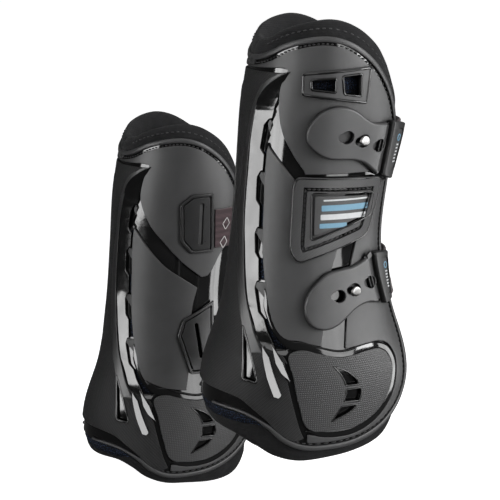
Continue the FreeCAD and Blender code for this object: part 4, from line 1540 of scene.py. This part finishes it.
def rectangle(name, half_width, half_height, z=0.0):
    """Mesh data of a level rectangle."""
    mesh = bpy.data.meshes.new(name)
    w, h = half_width, half_height
    mesh.from_pydata([(-w, -h, z), (w, -h, z), (w, h, z), (-w, h, z)], [], [(0, 1, 2, 3)])
    return mesh


low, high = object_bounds()
floor_mesh = rectangle("floor", FLOOR_REACH, FLOOR_REACH, low[2] - FLOOR_GAP)
floor = bpy.data.objects.new("floor", floor_mesh)
bpy.context.scene.collection.objects.link(floor)
paper = bpy.data.materials.new("paper")
paper.use_nodes = True
look = {"Base Color": (0.8, 0.8, 0.8, 1), "Roughness": 0.9, "Emission Color": (1, 1, 1, 1),
        "Emission Strength": 0.97}
for key, value in look.items():
    paper.node_tree.nodes["Principled BSDF"].inputs[key].default_value = value
floor_mesh.materials.append(paper)
floor.visible_glossy = False
floor.visible_diffuse = False

scene = bpy.context.scene
scene.view_settings.view_transform = "Standard"
world = bpy.data.worlds.new("studio")
scene.world = world
world.use_nodes = True
sky = world.node_tree.nodes["Background"]
sky.inputs["Color"].default_value = (1, 1, 1, 1)
sky.inputs["Strength"].default_value = 0.07


def around(degrees, distance, height):
    """A place round the object: 0 degrees is behind it on its rear side (-X), 90 is -Y."""
    a = math.radians(degrees)
    return Vector((-distance * math.cos(a), -distance * math.sin(a), height))


def aimed(ob, place, aim):
    """Puts an object in the scene, facing a point."""
    ob.location = place
    ob.rotation_euler = (Vector(place) - Vector(aim)).to_track_quat("Z", "Y").to_euler()
    scene.collection.objects.link(ob)
    return ob


def softbox(name, place, aim, width, height, power):
    """A rectangular lamp."""
    data = bpy.data.lights.new(name, "AREA")
    data.shape = "RECTANGLE"
    data.size, data.size_y = width, height
    data.energy = power
    return aimed(bpy.data.objects.new(name, data), place, aim)


def card(name, place, aim, width, height, strength):
    """A lit card that only the glossy parts see."""
    mesh = rectangle(name, width / 2, height / 2)
    material = bpy.data.materials.new(name)
    material.use_nodes = True
    tree = material.node_tree
    tree.nodes.clear()
    glow = tree.nodes.new("ShaderNodeEmission")
    place_on = tree.nodes.new("ShaderNodeTexCoord")
    cloud = tree.nodes.new("ShaderNodeTexNoise")
    cloud.inputs["Scale"].default_value = 3.5
    tree.links.new(place_on.outputs["Object"], cloud.inputs["Vector"])
    level = tree.nodes.new("ShaderNodeMapRange")
    level.inputs["From Min"].default_value, level.inputs["From Max"].default_value = 0.35, 0.65
    level.inputs["To Min"].default_value, level.inputs["To Max"].default_value = 0.7 * strength, strength
    tree.links.new(cloud.outputs[0], level.inputs["Value"])
    tree.links.new(level.outputs[0], glow.inputs["Strength"])
    out = tree.nodes.new("ShaderNodeOutputMaterial")
    tree.links.new(glow.outputs[0], out.inputs[0])
    mesh.materials.append(material)
    ob = aimed(bpy.data.objects.new(name, mesh), place, aim)
    ob.visible_camera = ob.visible_diffuse = ob.visible_shadow = False
    return ob


middle = (Vector(low) + Vector(high)) / 2
softbox("key", (1.25, -1.05, 0.5), middle, 0.6, 0.9, 30)
softbox("fill", (-0.9, -1.3, 0.7), middle, 0.9, 0.9, 7)
softbox("top", (0.1, 0.3, 1.5), middle, 1.0, 1.0, 5)
eye = Vector((0, 0, 0.13))
card("left_card", around(11, 1.4, 0.155), eye, 1.03, 0.49, 12)
card("rear_card", around(-92, 1.4, -0.25), eye, 0.3, 0.4, 3)
card("ceiling", (0.0, -0.2, 1.7), eye, 2.4, 2.4, 1.2)
card("right_card", around(116, 1.6, 0.05), eye, 0.66, 0.66, 7)
card("back_card", around(167, 1.6, -0.2), eye, 0.6, 0.75, 9)
